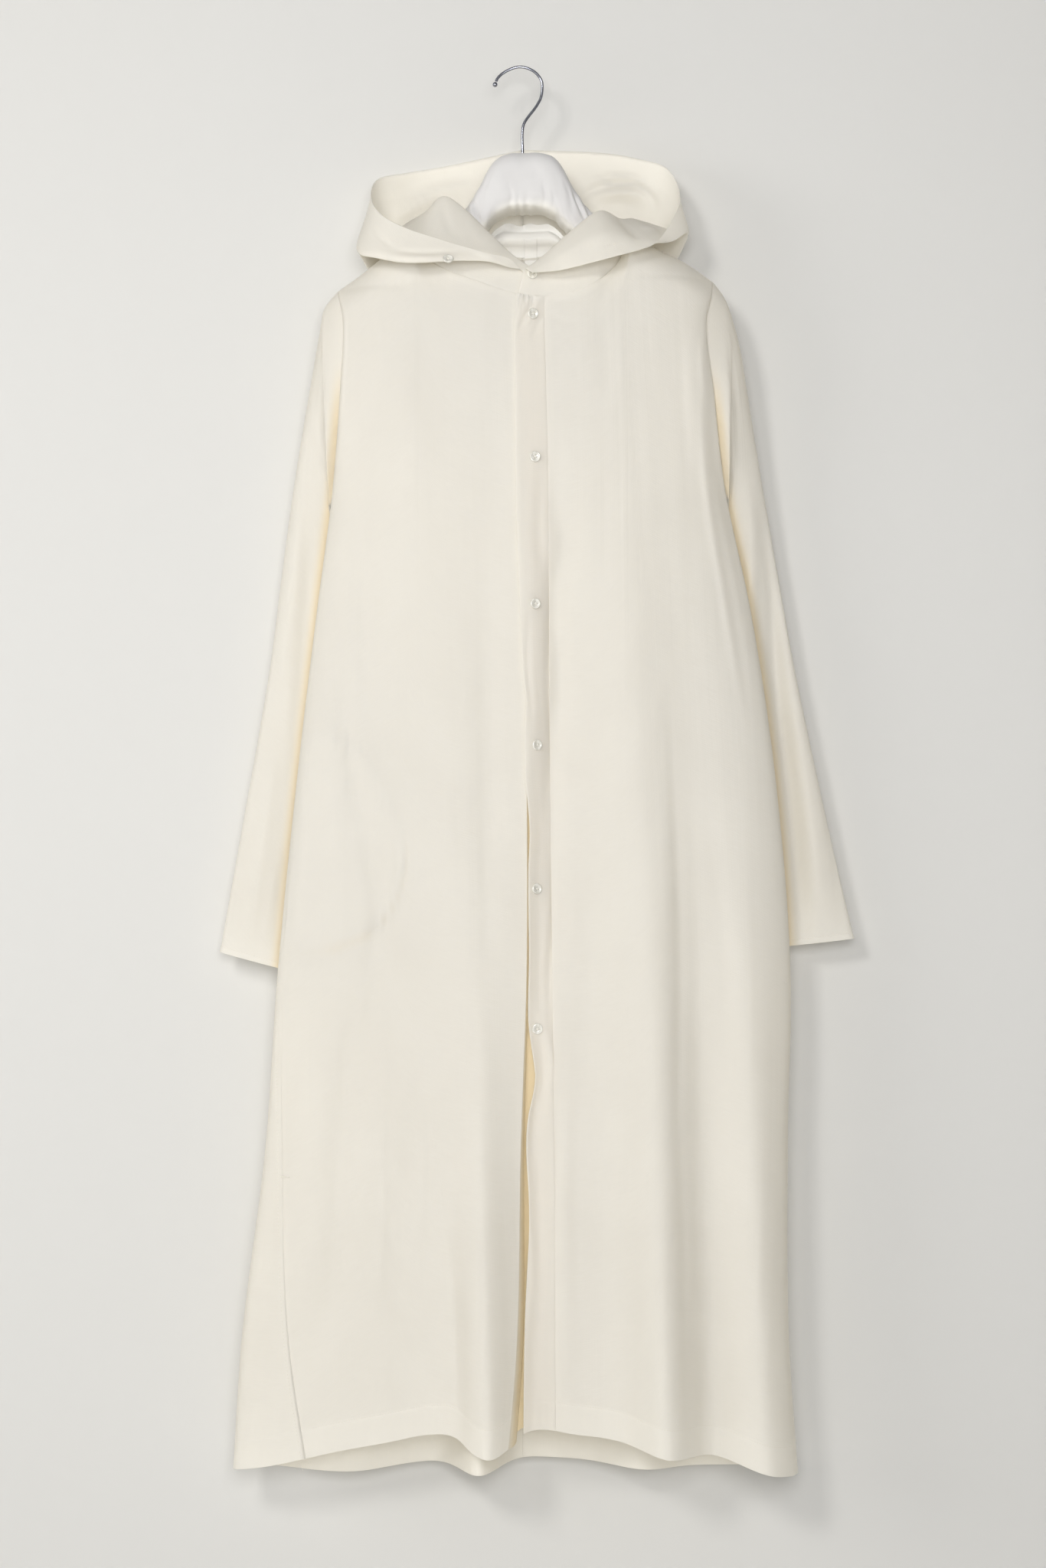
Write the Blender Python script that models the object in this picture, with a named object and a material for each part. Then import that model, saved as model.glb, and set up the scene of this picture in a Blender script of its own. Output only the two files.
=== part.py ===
"""Long shirt dress with a hood, hung flat on a padded hanger.

Frame: the underside of the hanger hook's top is the origin, +Z is up, the front faces -Y and
the viewer's right is +X. "left" and "right" in a name are the wearer's, so the right front is
on the viewer's left. Tables are in millimetres.
"""
import math

import bmesh
import bpy
import numpy as np
from mathutils import Vector

MM = 0.001
CLOTH = 1.2             # wall of one layer of cloth
SEAM_GAP = 0.7          # gap between two pieces at a seam, at their outer faces
LENS = 2.6              # roundness of the body's flat section
SECTION_HALF = 250      # usual half width and depth of that section
SECTION_DEEP = 38
SHOULDER_COLUMNS = 7
NECK_CLEAR = 4          # least width of a panel's first column at the neck
BODY_ROWS = 18
EVEN_ROW = 7            # row from which a panel's columns lie evenly
ROW_CROWDING = 1.8      # rows of the body lie closer together towards the shoulders
UNDERARM_ROW = 7        # row of the body at which the armhole ends
BAND_COLUMNS = 2
SLEEVE_RINGS = 13
HOOD_COLUMNS = 20
HOOD_STEPS = 11

# Body sections: silhouette left and right, depth of the front and back layers at the middle,
# depth of the side seams, share of the section's half width at which the left-hand side seam
# lies, and the fold and band lines of the opening.
SECTIONS = [
    # z, left, right, front, back, side, seam, bandEdge, bandSeam, fold, foldDeep, underDeep
    (-180, -189, 198, -44, 30, 0, 1.00, -4, 24, -4, 4.0, 2.0),
    (-231, -189, 198, -44, 30, 0, 1.00, -4, 24, -4, 4.0, 2.0),
    (-262, -183, 191, -45, 30, 0, 1.00, -6, 24, -5, 4.0, 2.0),
    (-340, -186, 199, -45, 30, -1, 1.00, -5, 26, -5, 4.0, 2.0),
    (-435, -194, 211, -45, 30, -3, 1.00, -4, 28, -4, 4.0, 2.2),
    (-560, -210, 237, -45, 30, -6, 1.00, 0, 29, -2, 4.0, 3.0),
    (-720, -229, 261, -46, 30, -8, 1.00, 3, 30, 1, 4.5, 5.0),
    (-930, -250, 278, -47, 30, -9, 0.98, 7, 32, 4, 8.0, 7.5),
    (-1115, -263, 275, -50, 31, -10, 0.93, 7, 34, 0, 15.0, 9.0),
    (-1310, -287, 276, -54, 32, -12, 0.82, 4, 35, -4, 28.0, 11.0),
    (-1450, -296, 285, -57, 33, -16, 0.72, 3, 36, -16, 36.0, 12.0),
]
SECTION_NAMES = ("z", "left", "right", "front", "back", "side", "seam", "bandEdge", "bandSeam",
                 "fold", "foldDeep", "underDeep")

# Standing folds of the skirt: where each begins, where it meets the hem, how far it comes
# forward there and its half width.
FRONT_FOLDS = [
    # xTop, zTop, xHem, forward, halfWidth
    (-60, -760, -36, 46, 24),
    (118, -380, 148, 50, 30),
    (165, -620, 193, -9, 18),
    (214, -480, 252, 34, 34),
]
BACK_FOLDS = [
    (-52, -820, -42, 74, 26),
    (104, -620, 124, 30, 38),
    (-150, -700, -180, 20, 58),
]

FOLD_FOOT = -1430       # height at which the standing folds are full
FOLD_GROWTH = 1.4
FOLD_EDGE = 3.2         # how soon a fold fades beside the section's edge

# Height of the hem, front and back.
FRONT_HEM = [(-296, -1443), (-262, -1437), (-191, -1420), (-131, -1408), (-95, -1401), (-66, -1402),
             (-48, -1412), (-30, -1416), (-14, -1411), (3, -1398), (60, -1401), (102, -1407),
             (148, -1418), (193, -1422), (255, -1440), (285, -1446)]
BACK_HEM = [(-296, -1443), (-180, -1453), (-100, -1447), (-42, -1446), (10, -1443), (92, -1447),
            (150, -1450), (285, -1446)]

# The hood around the neck, from centre front to centre back: neckline seam, inner fold over the
# top of the stand, outer fold or bottom of the bag, and the face edge.
HOOD_RIGHT = [
    ((12, -43, -242), (10, -43, -214), (7, -44, -217), (4, -44.5, -221)),
    ((-9, -44, -239), (-9, -41, -200), (-13, -53, -215), (-11, -55, -207)),
    ((-41, -43, -228), (-37, -36, -173), (-36, -60, -210), (-34, -61, -202)),
    ((-76, -40, -215), (-76, -25, -138), (-80, -67, -211), (-79, -63, -189)),
    ((-98, -22, -198), (-97, -15, -151), (-120, -65, -212), (-116, -58, -176)),
    ((-108, -1, -177), (-113, 1, -159), (-160, -44, -202), (-142, -46, -160)),
    ((-104, 12, -179), (-117, 17, -162), (-166, -8, -198), (-154, -14, -136)),
    ((-94, 22, -183), (-114, 33, -165), (-143, 39, -236), (-149, 18, -111)),
    ((-74, 28, -187), (-88, 39, -170), (-128, 52, -300), (-121, 35, -101)),
    ((-44, 31, -189), (-50, 42, -172), (-84, 59, -348), (-78, 43, -92)),
    ((2, 33, -190), (2, 44, -173), (2, 64, -378), (2, 50, -77)),
]
HOOD_LEFT = [
    ((-3, -47, -241), (4, -50, -217), (8, -56, -219), (12, -61, -222)),
    ((23, -46, -243), (24, -44, -202), (30, -56, -209), (36, -64, -221)),
    ((56, -45, -237), (52, -40, -176), (54, -58, -193), (57, -69, -217)),
    ((81, -41, -225), (80, -32, -155), (84, -55, -178), (89, -70, -209)),
    ((102, -21, -201), (101, -15, -159), (119, -50, -184), (123, -60, -198)),
    ((111, -1, -172), (114, 1, -155), (154, -34, -189), (146, -38, -167)),
    ((107, 12, -174), (119, 17, -157), (172, -6, -181), (164, -12, -140)),
    ((96, 22, -179), (116, 33, -163), (146, 39, -230), (154, 19, -101)),
    ((76, 28, -184), (90, 39, -168), (131, 52, -298), (122, 35, -86)),
    ((46, 31, -188), (54, 42, -171), (88, 59, -347), (82, 43, -80)),
    ((2, 33, -190), (2, 44, -173), (2, 64, -378), (2, 50, -77)),
]
NECK_CORNER = 5         # row of the hood tables that lies at the shoulder
SHOULDER_RIGHT = [(-108, -177), (-143, -197), (-166, -215), (-189, -231)]
SHOULDER_LEFT = [(111, -172), (143, -189), (170, -202), (198, -221)]
SHOULDER_ROUND = 34     # height over which the cloth turns down from the shoulder

ARMHOLE_HALF = 22       # half opening of the armhole, front to back
ARMHOLE_EVEN = 6        # sleeve rings over which the armhole's spacing of points becomes even

# Sleeve rings below the armhole: outer edge, inner edge and half thickness.
SLEEVE_RIGHT = [
    ((-203, 1, -249), (-198, 6, -458), 23),
    ((-210, 3, -285), (-195, 17, -470), 22),
    ((-219, 8, -335), (-188, 29, -490), 21),
    ((-232, 14, -410), (-171, 40, -522), 19),
    ((-246, 19, -505), (-150, 46, -560), 17),
    ((-261, 22, -620), (-142, 47, -640), 16),
    ((-281, 23, -735), (-158, 47, -748), 16),
    ((-297, 23, -825), (-178, 46, -842), 15),
    ((-313, 22, -915), (-200, 44, -946), 15),
]
SLEEVE_LEFT = [
    ((212, 1, -240), (215, 6, -453), 23),
    ((225, 3, -280), (213, 17, -466), 22),
    ((235, 8, -335), (208, 29, -487), 21),
    ((248, 15, -412), (192, 41, -519), 19),
    ((265, 20, -507), (176, 47, -560), 17),
    ((286, 22, -625), (170, 47, -640), 16),
    ((309, 23, -733), (188, 47, -744), 16),
    ((327, 23, -815), (209, 46, -826), 15),
    ((347, 22, -901), (234, 44, -914), 15),
]

CENTRE_BACK = 2
BAND_LIFT = 2.4         # how far the upper band's free edge stands over the lower one
UNDER_DRAW = 0.5        # how much of the fold's depth the lower band's middle follows
FOLD_ROLL = [(0.24, 1.0), (0.2, 0.62), (0.1, 0.2)]  # turned-back edge: across and back, as shares of foldDeep

# Pocket bag behind the right front: height and where its inner edge lies.
POCKET = [(-693, -203), (-698, -178), (-712, -161), (-740, -142), (-772, -128), (-800, -119),
          (-825, -119), (-854, -126), (-874, -138), (-890, -152), (-900, -172), (-908, -205), (-913, -236)]
POCKET_WALL = 2.2       # two layers of cloth lying together
POCKET_MARGIN = 12      # from the side edge
POCKET_GAP = 1.3        # behind the front's wall
POCKET_COLUMNS = 5

# Buttons: the first is on the hood's right front edge, the second on the stand, then down the
# band by across and height.
BUTTON_RADIUS = 5.5
BUTTON_THICK = 2.6
BUTTON_SEAT = 0.5       # between a button's back and the cloth
BUTTON_STEPS = 16
HOOD_BUTTON = (2.85, 0.86)   # station and share of the way to the face edge, on the right hood
STAND_BUTTON = (0.5, 0.29)   # the same on the left one
FRONT_BUTTONS = [(12, -262), (14, -408), (15, -558), (16, -703), (16, -845), (17, -985)]

# Hanger: half profile from the middle outward. Its arms follow the shoulder seams from below.
HANGER_MIDDLE = 5
HANGER_TILT = math.radians(1.3)
HANGER = [
    # out, top, height, halfDepth
    (0, -90, 60, 29),
    (18, -91, 60, 29),
    (30, -96, 61, 28),
    (39, -107, 60, 27),
    (47, -123, 51, 25),
    (58, -140, 44, 22),
    (78, -160, 38, 18),
    (98, -179, 33, 10),
    (116, None, 33, 9),
    (128, None, 33, 11),
    (144, None, 32, 11),
    (158, None, 31, 10),
    (170, None, 26, 7),
]
HANGER_REST = 1.4       # between the arms and the cloth that rests on them
HANGER_SIDES = 20
WIRE = 1.5              # radius of the hook's wire
HOOK = [(-26, -16), (-24, -10.5), (-14, -2.5), (0, 1.5), (14, -3.5), (21.5, -13), (22.3, -21), (20.8, -30.5),
        (17, -38), (3.6, -57), (2.2, -62), (2, -87), (2, -106)]
HOOK_STEPS = 64
HOOK_START = 2.4        # length of the wire's path left free for the ball
HOOK_BALL = 2.6
SOCKET = 0.4            # gap round the wire where it enters the hanger
DRILL_DEPTH = 40
PAD_SQUARE = 0.55       # squareness of the pad's thick middle, which reaches PAD_THICK outward
PAD_THICK = 60
PAD_TIP = (6, -2)       # how far an arm's rounded end stands out, and its drop


def column(name):
    return np.array([row[SECTION_NAMES.index(name)] for row in SECTIONS], float)


def spline(keys, values, at):
    """Smooth curve through table rows; keys rise, values may be vectors."""
    keys = np.asarray(keys, float)
    values = np.asarray(values, float)
    at = min(max(at, keys[0]), keys[-1])
    i = int(min(max(np.searchsorted(keys, at) - 1, 0), len(keys) - 2))
    step = keys[i + 1] - keys[i]
    t = (at - keys[i]) / step
    chord = np.diff(values, axis=0) / (np.diff(keys)[:, None] if values.ndim > 1 else np.diff(keys))
    slope = np.concatenate([chord[:1], (chord[:-1] + chord[1:]) / 2, chord[-1:]])
    a, b = values[i], values[i + 1]
    h = t * t * (3 - 2 * t)
    return (a + (b - a) * h + step * (t * (1 - t) ** 2 * slope[i] - t * t * (1 - t) * slope[i + 1]))


SECTION_Z = column("z")[::-1]
SECTION_COLUMNS = {name: column(name)[::-1] for name in SECTION_NAMES}


def section(name, z):
    return float(spline(SECTION_Z, SECTION_COLUMNS[name], z))


def table(rows, x):
    keys, values = zip(*rows)
    return float(spline(keys, values, x))


def standing(folds, x, z):
    """How far the standing folds bring the cloth forward."""
    total = 0
    for x_top, z_top, x_hem, forward, half_width in folds:
        fall = min(max((z_top - z) / (z_top - FOLD_FOOT), 0), 1)
        middle = x_top + (x_hem - x_top) * fall
        total += forward * fall ** FOLD_GROWTH * math.exp(-((x - middle) / half_width) ** 2)
    return total


def side_top(side):
    """Height of the shoulder tip."""
    return (SHOULDER_RIGHT if side < 0 else SHOULDER_LEFT)[-1][1]


def side_hem(side):
    return FRONT_HEM[0][1] if side < 0 else FRONT_HEM[-1][1]


def armhole(side, z):
    """Half opening of the armhole at a height; it closes at the underarm row."""
    down = (side_top(side) - z) / (side_top(side) - side_hem(side))
    row = BODY_ROWS * max(down, 0) ** (1 / ROW_CROWDING)
    return ARMHOLE_HALF * math.sin(math.pi * row / UNDERARM_ROW) if row < UNDERARM_ROW else 0


def edge(side, z):
    return section("left" if side < 0 else "right", z)


def layer(x, z, front):
    """Depth of the body's front or back layer."""
    left, right = section("left", z), section("right", z)
    middle, half = (left + right) / 2, (right - left) / 2
    off = min(abs(x - middle) / half, 1)
    bow = (1 - off ** LENS) ** (1 / LENS)
    opening = armhole(-1 if x < middle else 1, z)
    side = section("side", z) + (-opening if front else opening)
    flat = section("front" if front else "back", z)
    fold = standing(FRONT_FOLDS if front else BACK_FOLDS, x, z)
    return side + (flat - side) * bow - fold * min(1, FOLD_EDGE * bow)


def top_line(front):
    """Neckline and shoulder seams from one shoulder tip to the other, as dense points."""
    points = []
    for side, hood, shoulder in ((-1, HOOD_RIGHT, SHOULDER_RIGHT), (1, HOOD_LEFT, SHOULDER_LEFT)):
        neck = [row[0] for row in hood]
        rows = range(len(neck))
        span = (0, NECK_CORNER) if front else (len(neck) - 1, NECK_CORNER)
        run = [tuple(spline(rows, neck, t)) for t in np.linspace(*span, 60)]
        outs = [abs(x) for x, _ in shoulder]
        heights = [z for _, z in shoulder]
        run += [(side * out, 0, float(spline(outs, heights, out)))
                for out in np.linspace(outs[0] + 0.5, outs[-1], 30)]
        points += run
    return np.array(sorted(points))


TOP = {front: top_line(front) for front in (True, False)}


def top(x, front):
    line = TOP[front]
    return float(np.interp(x, line[:, 0], line[:, 1])), float(np.interp(x, line[:, 0], line[:, 2]))


def cloth_point(x, z, front, lift=0):
    """A point of the body's outer face, turned over the shoulder near its top edge."""
    y_top, z_top = top(x, front)
    away = min(max((z_top - z) / SHOULDER_ROUND, 0), 1)
    turn = math.sqrt(1 - (1 - away) ** 2)
    y = y_top + (layer(x, z, front) - y_top) * turn
    return (x, y + lift, z)


def hem(x, front):
    return table(FRONT_HEM if front else BACK_HEM, x)


def neck_shares(side, front, start):
    """Shares of a panel's columns: at the top they meet the hood's own columns, at the hem they are even."""
    hood, shoulder = (HOOD_RIGHT, SHOULDER_RIGHT) if side < 0 else (HOOD_LEFT, SHOULDER_LEFT)
    neck = [float(row[0][0]) for row in hood]
    last = len(neck) - 1
    stops = [last * c / HOOD_COLUMNS for c in range(HOOD_COLUMNS + 1)]
    stops = [t for t in stops if t <= NECK_CORNER] if front else [t for t in stops[::-1] if t >= NECK_CORNER]
    across = [float(spline(range(len(neck)), neck, t)) for t in stops]
    across = [start] + [x for x in across if (x - start) * side > NECK_CLEAR]
    tip = shoulder[-1][0]
    across += [across[-1] + (tip - across[-1]) * (c + 1) / SHOULDER_COLUMNS for c in range(SHOULDER_COLUMNS)]
    count = len(across) - 1
    return [(x - start) / (tip - start) for x in across], [c / count for c in range(count + 1)]


def panel(front, place, shares, lift=None):
    """Grid of points, top to hem; place(share, z) gives x and whether it has turned to the front."""
    grid = []
    for r in range(BODY_ROWS + 1):
        fall = (r / BODY_ROWS) ** ROW_CROWDING
        even = min(r / EVEN_ROW, 1)
        line = []
        for upper, lower in zip(*shares):
            share = upper + (lower - upper) * even
            z = SECTIONS[1][0]
            for _ in range(5):
                x, turned = place(share, z)
                z_top = top(x, front)[1]
                z = z_top + (hem(x, front and not turned or turned) - z_top) * fall
            line.append(cloth_point(x, z, front or turned, lift(share, z) if lift else 0))
        grid.append(line)
    return grid


def between(inner, outer):
    return lambda share, z: (inner(z) + (outer(z) - inner(z)) * share, False)


def pull_back(grid, sides):
    """Draw the named edges of a grid back by half a seam gap."""
    points = np.array(grid, float)
    for name in sides:
        line, near = {"top": (0, 1), "bottom": (-1, -2)}.get(name, (None, None))
        if line is None:
            points = points.swapaxes(0, 1)
            line, near = {"inner": (0, 1), "outer": (-1, -2)}[name]
        step = points[near] - points[line]
        along = np.gradient(points[line], axis=0)
        along /= np.maximum(np.linalg.norm(along, axis=1, keepdims=True), 1e-6)
        step -= along * (step * along).sum(axis=1, keepdims=True)
        length = np.linalg.norm(step, axis=1, keepdims=True)
        points[line] += step / np.maximum(length, 1e-6) * SEAM_GAP / 2
        if name in ("inner", "outer"):
            points = points.swapaxes(0, 1)
    return points


def material(name, colour, roughness, metallic=0.0):
    mat = bpy.data.materials.new(name)
    mat.use_nodes = True
    shader = mat.node_tree.nodes["Principled BSDF"]
    shader.inputs["Base Color"].default_value = (*colour, 1)
    shader.inputs["Roughness"].default_value = roughness
    shader.inputs["Metallic"].default_value = metallic
    return mat


def add_object(name, bm, mat):
    mesh = bpy.data.meshes.new(name)
    bm.to_mesh(mesh)
    bm.free()
    mesh.shade_smooth()
    obj = bpy.data.objects.new(name, mesh)
    obj.data.materials.append(mat)
    bpy.context.scene.collection.objects.link(obj)
    return obj


def normals(points, closed):
    """Outward directions of a grid's outer face: rows run down, columns run clockwise from outside."""
    if closed:
        across = np.roll(points, -1, axis=1) - np.roll(points, 1, axis=1)
    else:
        across = np.gradient(points, axis=1)
    out = np.cross(np.gradient(points, axis=0), across)
    return out / np.linalg.norm(out, axis=2, keepdims=True)


def cloth_wall(name, grid, mat, wall=CLOTH, closed=False, flip=False, edges=None):
    """A grid of outer points made into a wall; both skins are split along the same diagonals.

    edges gives, for a border, the function that turns a point and its outward direction into
    the direction used there, so that two walls that meet at a seam share it.
    """
    outer = np.array(grid, float)
    away = normals(outer, closed) * (-1 if flip else 1)
    for border, turn in (edges or {}).items():
        line = {"top": (0, slice(None)), "inner": (slice(None), 0), "outer": (slice(None), -1)}[border]
        turned = np.array([turn(p, n) for p, n in zip(outer[line], away[line])])
        away[line] = turned / np.linalg.norm(turned, axis=1, keepdims=True)
    inner = outer - away * wall
    bm = bmesh.new()
    skins = [[[bm.verts.new(Vector(p) * MM) for p in line] for line in skin] for skin in (outer, inner)]
    height, width = outer.shape[:2]
    spans = range(width if closed else width - 1)
    for r in range(height - 1):
        for c in spans:
            n = (c + 1) % width
            corners = [(r, c), (r, n), (r + 1, n), (r + 1, c)]
            if math.dist(outer[corners[0]], outer[corners[2]]) > math.dist(outer[corners[1]], outer[corners[3]]):
                corners = corners[1:] + corners[:1]
            for half in (corners[:3], [corners[0]] + corners[2:]):
                for skin, turned in zip(skins, (flip, not flip)):
                    face = [skin[i][j] for i, j in half]
                    bm.faces.new(face if turned else face[::-1])
    rims = [(r, c, r, (c + 1) % width) for r in (0, height - 1) for c in spans]
    if not closed:
        rims += [(r, c, r + 1, c) for c in (0, width - 1) for r in range(height - 1)]
    for r1, c1, r2, c2 in rims:
        bm.faces.new((skins[0][r1][c1], skins[0][r2][c2], skins[1][r2][c2], skins[1][r1][c1]))
    bmesh.ops.recalc_face_normals(bm, faces=bm.faces)
    if bm.calc_volume(signed=True) < 0:
        bmesh.ops.reverse_faces(bm, faces=bm.faces)
    return add_object(name, bm, mat)


def seam_x(z):
    """Where the right-hand side seam lies: on the edge above, drawn onto the front below."""
    left, right = section("left", z), section("right", z)
    middle, half = (left + right) / 2, (right - left) / 2
    return middle - half * section("seam", z)


def side_away(side):
    """Outward direction at a side seam, the same for the front and the back."""
    def away(point, normal):
        share = section("seam", point[2]) if side < 0 else 1
        hollow = max(1 - share ** LENS, 0)
        return side * share ** (LENS - 1) / SECTION_HALF, -hollow ** ((LENS - 1) / LENS) / SECTION_DEEP, 0
    return away


def shoulder_away(point, normal):
    return (0, 0, 1) if abs(point[1]) < 2 * SEAM_GAP else normal


def middle_away(point, normal):
    return 0, normal[1], normal[2]


def make_fronts(cloth):
    """Both fronts and their bands; returns the edge columns at the armholes."""
    shares = neck_shares(1, True, section("bandSeam", SECTIONS[1][0]))
    left = panel(True, between(lambda z: section("bandSeam", z), lambda z: edge(1, z)), shares)
    cloth_wall("front_left", pull_back(left, ("top", "inner", "outer")), cloth,
               edges={"outer": side_away(1), "top": shoulder_away})

    shares = neck_shares(-1, True, section("fold", SECTIONS[1][0]))
    right = panel(True, between(lambda z: section("fold", z), seam_x), shares)
    rolled = []
    for line in right:
        x, y, z = line[0]
        deep = section("foldDeep", z)
        roll = [(x + deep * across, y + deep * back, z) for across, back in FOLD_ROLL]
        rolled.append(roll + line)
    cloth_wall("front_right", pull_back(rolled, ("top", "inner", "outer")), cloth, flip=True,
               edges={"outer": side_away(-1), "top": shoulder_away})

    flat = [c / BAND_COLUMNS for c in range(BAND_COLUMNS + 1)]
    flat = (flat, flat)
    over = panel(True, between(lambda z: section("bandEdge", z), lambda z: section("bandSeam", z)), flat,
                 lambda share, z: -BAND_LIFT * (1 - share))
    cloth_wall("band_left", pull_back(over, ("top", "outer")), cloth)

    under = panel(True, between(lambda z: section("fold", z) + section("foldDeep", z) * FOLD_ROLL[0][0],
                                lambda z: section("bandSeam", z) + 1), flat)
    level = []
    for line, roll in zip(under, rolled):
        start = np.array(roll[0])
        deeper = [np.array((x, y + section("underDeep", z), z)) for x, y, z in line]
        drawn = (start - deeper[0]) * UNDER_DRAW
        level.append([start] + [p + drawn * (1 - share) for p, share in zip(deeper[1:], flat[0][1:])])
    cloth_wall("band_right", pull_back(level, ("top", "inner")), cloth)
    return {-1: [line[-1] for line in right], 1: [line[-1] for line in left]}, right


def make_backs(cloth):
    """Both backs; the right one turns round its edge onto the front below the pocket."""
    right_shares = neck_shares(-1, False, CENTRE_BACK)
    half_column = 0.49 / (len(right_shares[0]) - 1)

    def wrapped(share, z):
        """The column nearest the turned edge is put on it."""
        left, seam = section("left", z), seam_x(z)
        run = CENTRE_BACK - left
        whole = run + seam - left
        path = whole * share
        if abs(path - run) < whole * half_column < (seam - left) / 2 and share < 1:
            path = run
        return (CENTRE_BACK - path, False) if path <= run + 1e-6 else (left + path - run, True)

    edges = {}
    shares = neck_shares(1, False, CENTRE_BACK)
    left = panel(False, between(lambda z: CENTRE_BACK, lambda z: edge(1, z)), shares)
    cloth_wall("back_left", pull_back(left, ("top", "inner", "outer")), cloth, flip=True,
               edges={"inner": middle_away, "outer": side_away(1), "top": shoulder_away})
    right = panel(False, wrapped, right_shares)
    cloth_wall("back_right", pull_back(right, ("top", "inner", "outer")), cloth,
               edges={"inner": middle_away, "outer": side_away(-1), "top": shoulder_away})
    edges[1] = [line[-1] for line in left]
    edges[-1] = [line[-1] for line in right]
    return edges


def make_sleeves(cloth, fronts, backs):
    """Tubes that start on the armhole's own points and hang behind the body."""
    for name, side, rows in (("sleeve_right", -1, SLEEVE_RIGHT), ("sleeve_left", 1, SLEEVE_LEFT)):
        keys = range(len(rows))
        grid = [fronts[side][:UNDERARM_ROW + 1] + backs[side][UNDERARM_ROW - 1:0:-1]]
        sides = len(grid[0])
        for i in range(SLEEVE_RINGS + 1):
            t = (len(rows) - 1) * i / SLEEVE_RINGS
            outer = spline(keys, [row[0] for row in rows], t)
            inner = spline(keys, [row[1] for row in rows], t)
            half = float(spline(keys, [float(row[2]) for row in rows], t))
            middle, arm = (outer + inner) / 2, (outer - inner) / 2
            along = arm / np.linalg.norm(arm)
            toward = np.array((0.0, -1.0, 0.0))
            toward -= along * toward.dot(along)
            toward /= np.linalg.norm(toward)
            even = min((i + 1) / ARMHOLE_EVEN, 1)
            ring = []
            for k in range(sides):
                row = min(k, sides - k)
                turn = math.acos(1 - 2 * (row / UNDERARM_ROW) ** ROW_CROWDING) * (1 - even)
                turn += math.pi * row / UNDERARM_ROW * even
                turn *= 1 if k <= UNDERARM_ROW else -1
                ring.append(tuple(middle + arm * math.cos(turn) + toward * half * math.sin(turn)))
            grid.append(ring)
        grid = pull_back(grid, ("top",))
        grid[0, :, 0] += side * SEAM_GAP / 2
        cloth_wall(name, grid, cloth, closed=True, flip=side > 0)


def hood_line(rows, t, count):
    """The hood's section at one place round the neck, from the seam to the face edge."""
    stops = [spline(range(len(rows)), [row[i] for row in rows], t) for i in range(4)]
    lengths = [0.0]
    for a, b in zip(stops, stops[1:]):
        lengths.append(lengths[-1] + math.sqrt(np.linalg.norm(b - a)))
    return [spline(lengths, stops, lengths[-1] * i / count) for i in range(count + 1)]


def make_hood(cloth):
    for name, side, rows in (("hood_right", -1, HOOD_RIGHT), ("hood_left", 1, HOOD_LEFT)):
        last = len(rows) - 1
        columns = [hood_line(rows, last * c / HOOD_COLUMNS, HOOD_STEPS) for c in range(HOOD_COLUMNS + 1)]
        grid = np.array(columns).swapaxes(0, 1)
        grid = pull_back(pull_back(grid, ("top", "outer")), ("top",))
        cloth_wall(name, grid, cloth, flip=side > 0, edges={"outer": middle_away})


def depth_on(grid, x, z):
    """Depth of a front panel's own facets at a place."""
    rows = []
    for line in np.array(grid):
        line = line[np.argsort(line[:, 0])]
        rows.append((np.interp(x, line[:, 0], line[:, 2]), np.interp(x, line[:, 0], line[:, 1])))
    heights, depths = zip(*rows[::-1])
    return float(np.interp(z, heights, depths))


def make_pocket(cloth, panel_grid):
    grid = []
    for z, inner in POCKET:
        outer = edge(-1, z) + POCKET_MARGIN
        across = [inner + (outer - inner) * c / POCKET_COLUMNS for c in range(POCKET_COLUMNS + 1)]
        grid.append([(x, depth_on(panel_grid, x, z) + CLOTH + POCKET_GAP, z) for x in across])
    cloth_wall("pocket_bag", grid, cloth, wall=POCKET_WALL, flip=True)


def make_button(name, centre, normal, shell):
    """A turned disc with a raised rim and a dished middle, set on its panel."""
    bm = bmesh.new()
    r, t = BUTTON_RADIUS, BUTTON_THICK
    profile = [(0, 0), (r * 0.72, 0), (r * 0.93, t * 0.25), (r, t * 0.6), (r * 0.94, t * 0.92), (r * 0.8, t),
               (r * 0.62, t * 0.78), (r * 0.3, t * 0.6), (0, t * 0.58)]
    verts = [bm.verts.new((x * MM, 0, z * MM)) for x, z in profile]
    for a, b in zip(verts, verts[1:]):
        bm.edges.new((a, b))
    bmesh.ops.spin(bm, geom=bm.verts[:] + bm.edges[:], axis=(0, 0, 1), cent=(0, 0, 0), angle=2 * math.pi,
                   steps=BUTTON_STEPS, use_merge=True)
    bmesh.ops.remove_doubles(bm, verts=bm.verts, dist=1e-6)
    bmesh.ops.recalc_face_normals(bm, faces=bm.faces)
    turn = Vector((0, 0, 1)).rotation_difference(Vector(normal))
    bmesh.ops.rotate(bm, verts=bm.verts, cent=(0, 0, 0), matrix=turn.to_matrix())
    bmesh.ops.translate(bm, verts=bm.verts, vec=Vector(centre) * MM)
    return add_object(name, bm, shell)


def hood_seat(rows, t, share):
    """A place on the hood's outer face and the direction that it faces."""
    count = 40
    line, beside = hood_line(rows, t, count), hood_line(rows, t + 0.05, count)
    i = int(share * count)
    along, across = line[i + 1] - line[i - 1], beside[i] - line[i]
    normal = np.cross(along, across)
    normal *= -math.copysign(1, normal[1]) / np.linalg.norm(normal)
    return line[i], normal


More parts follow.
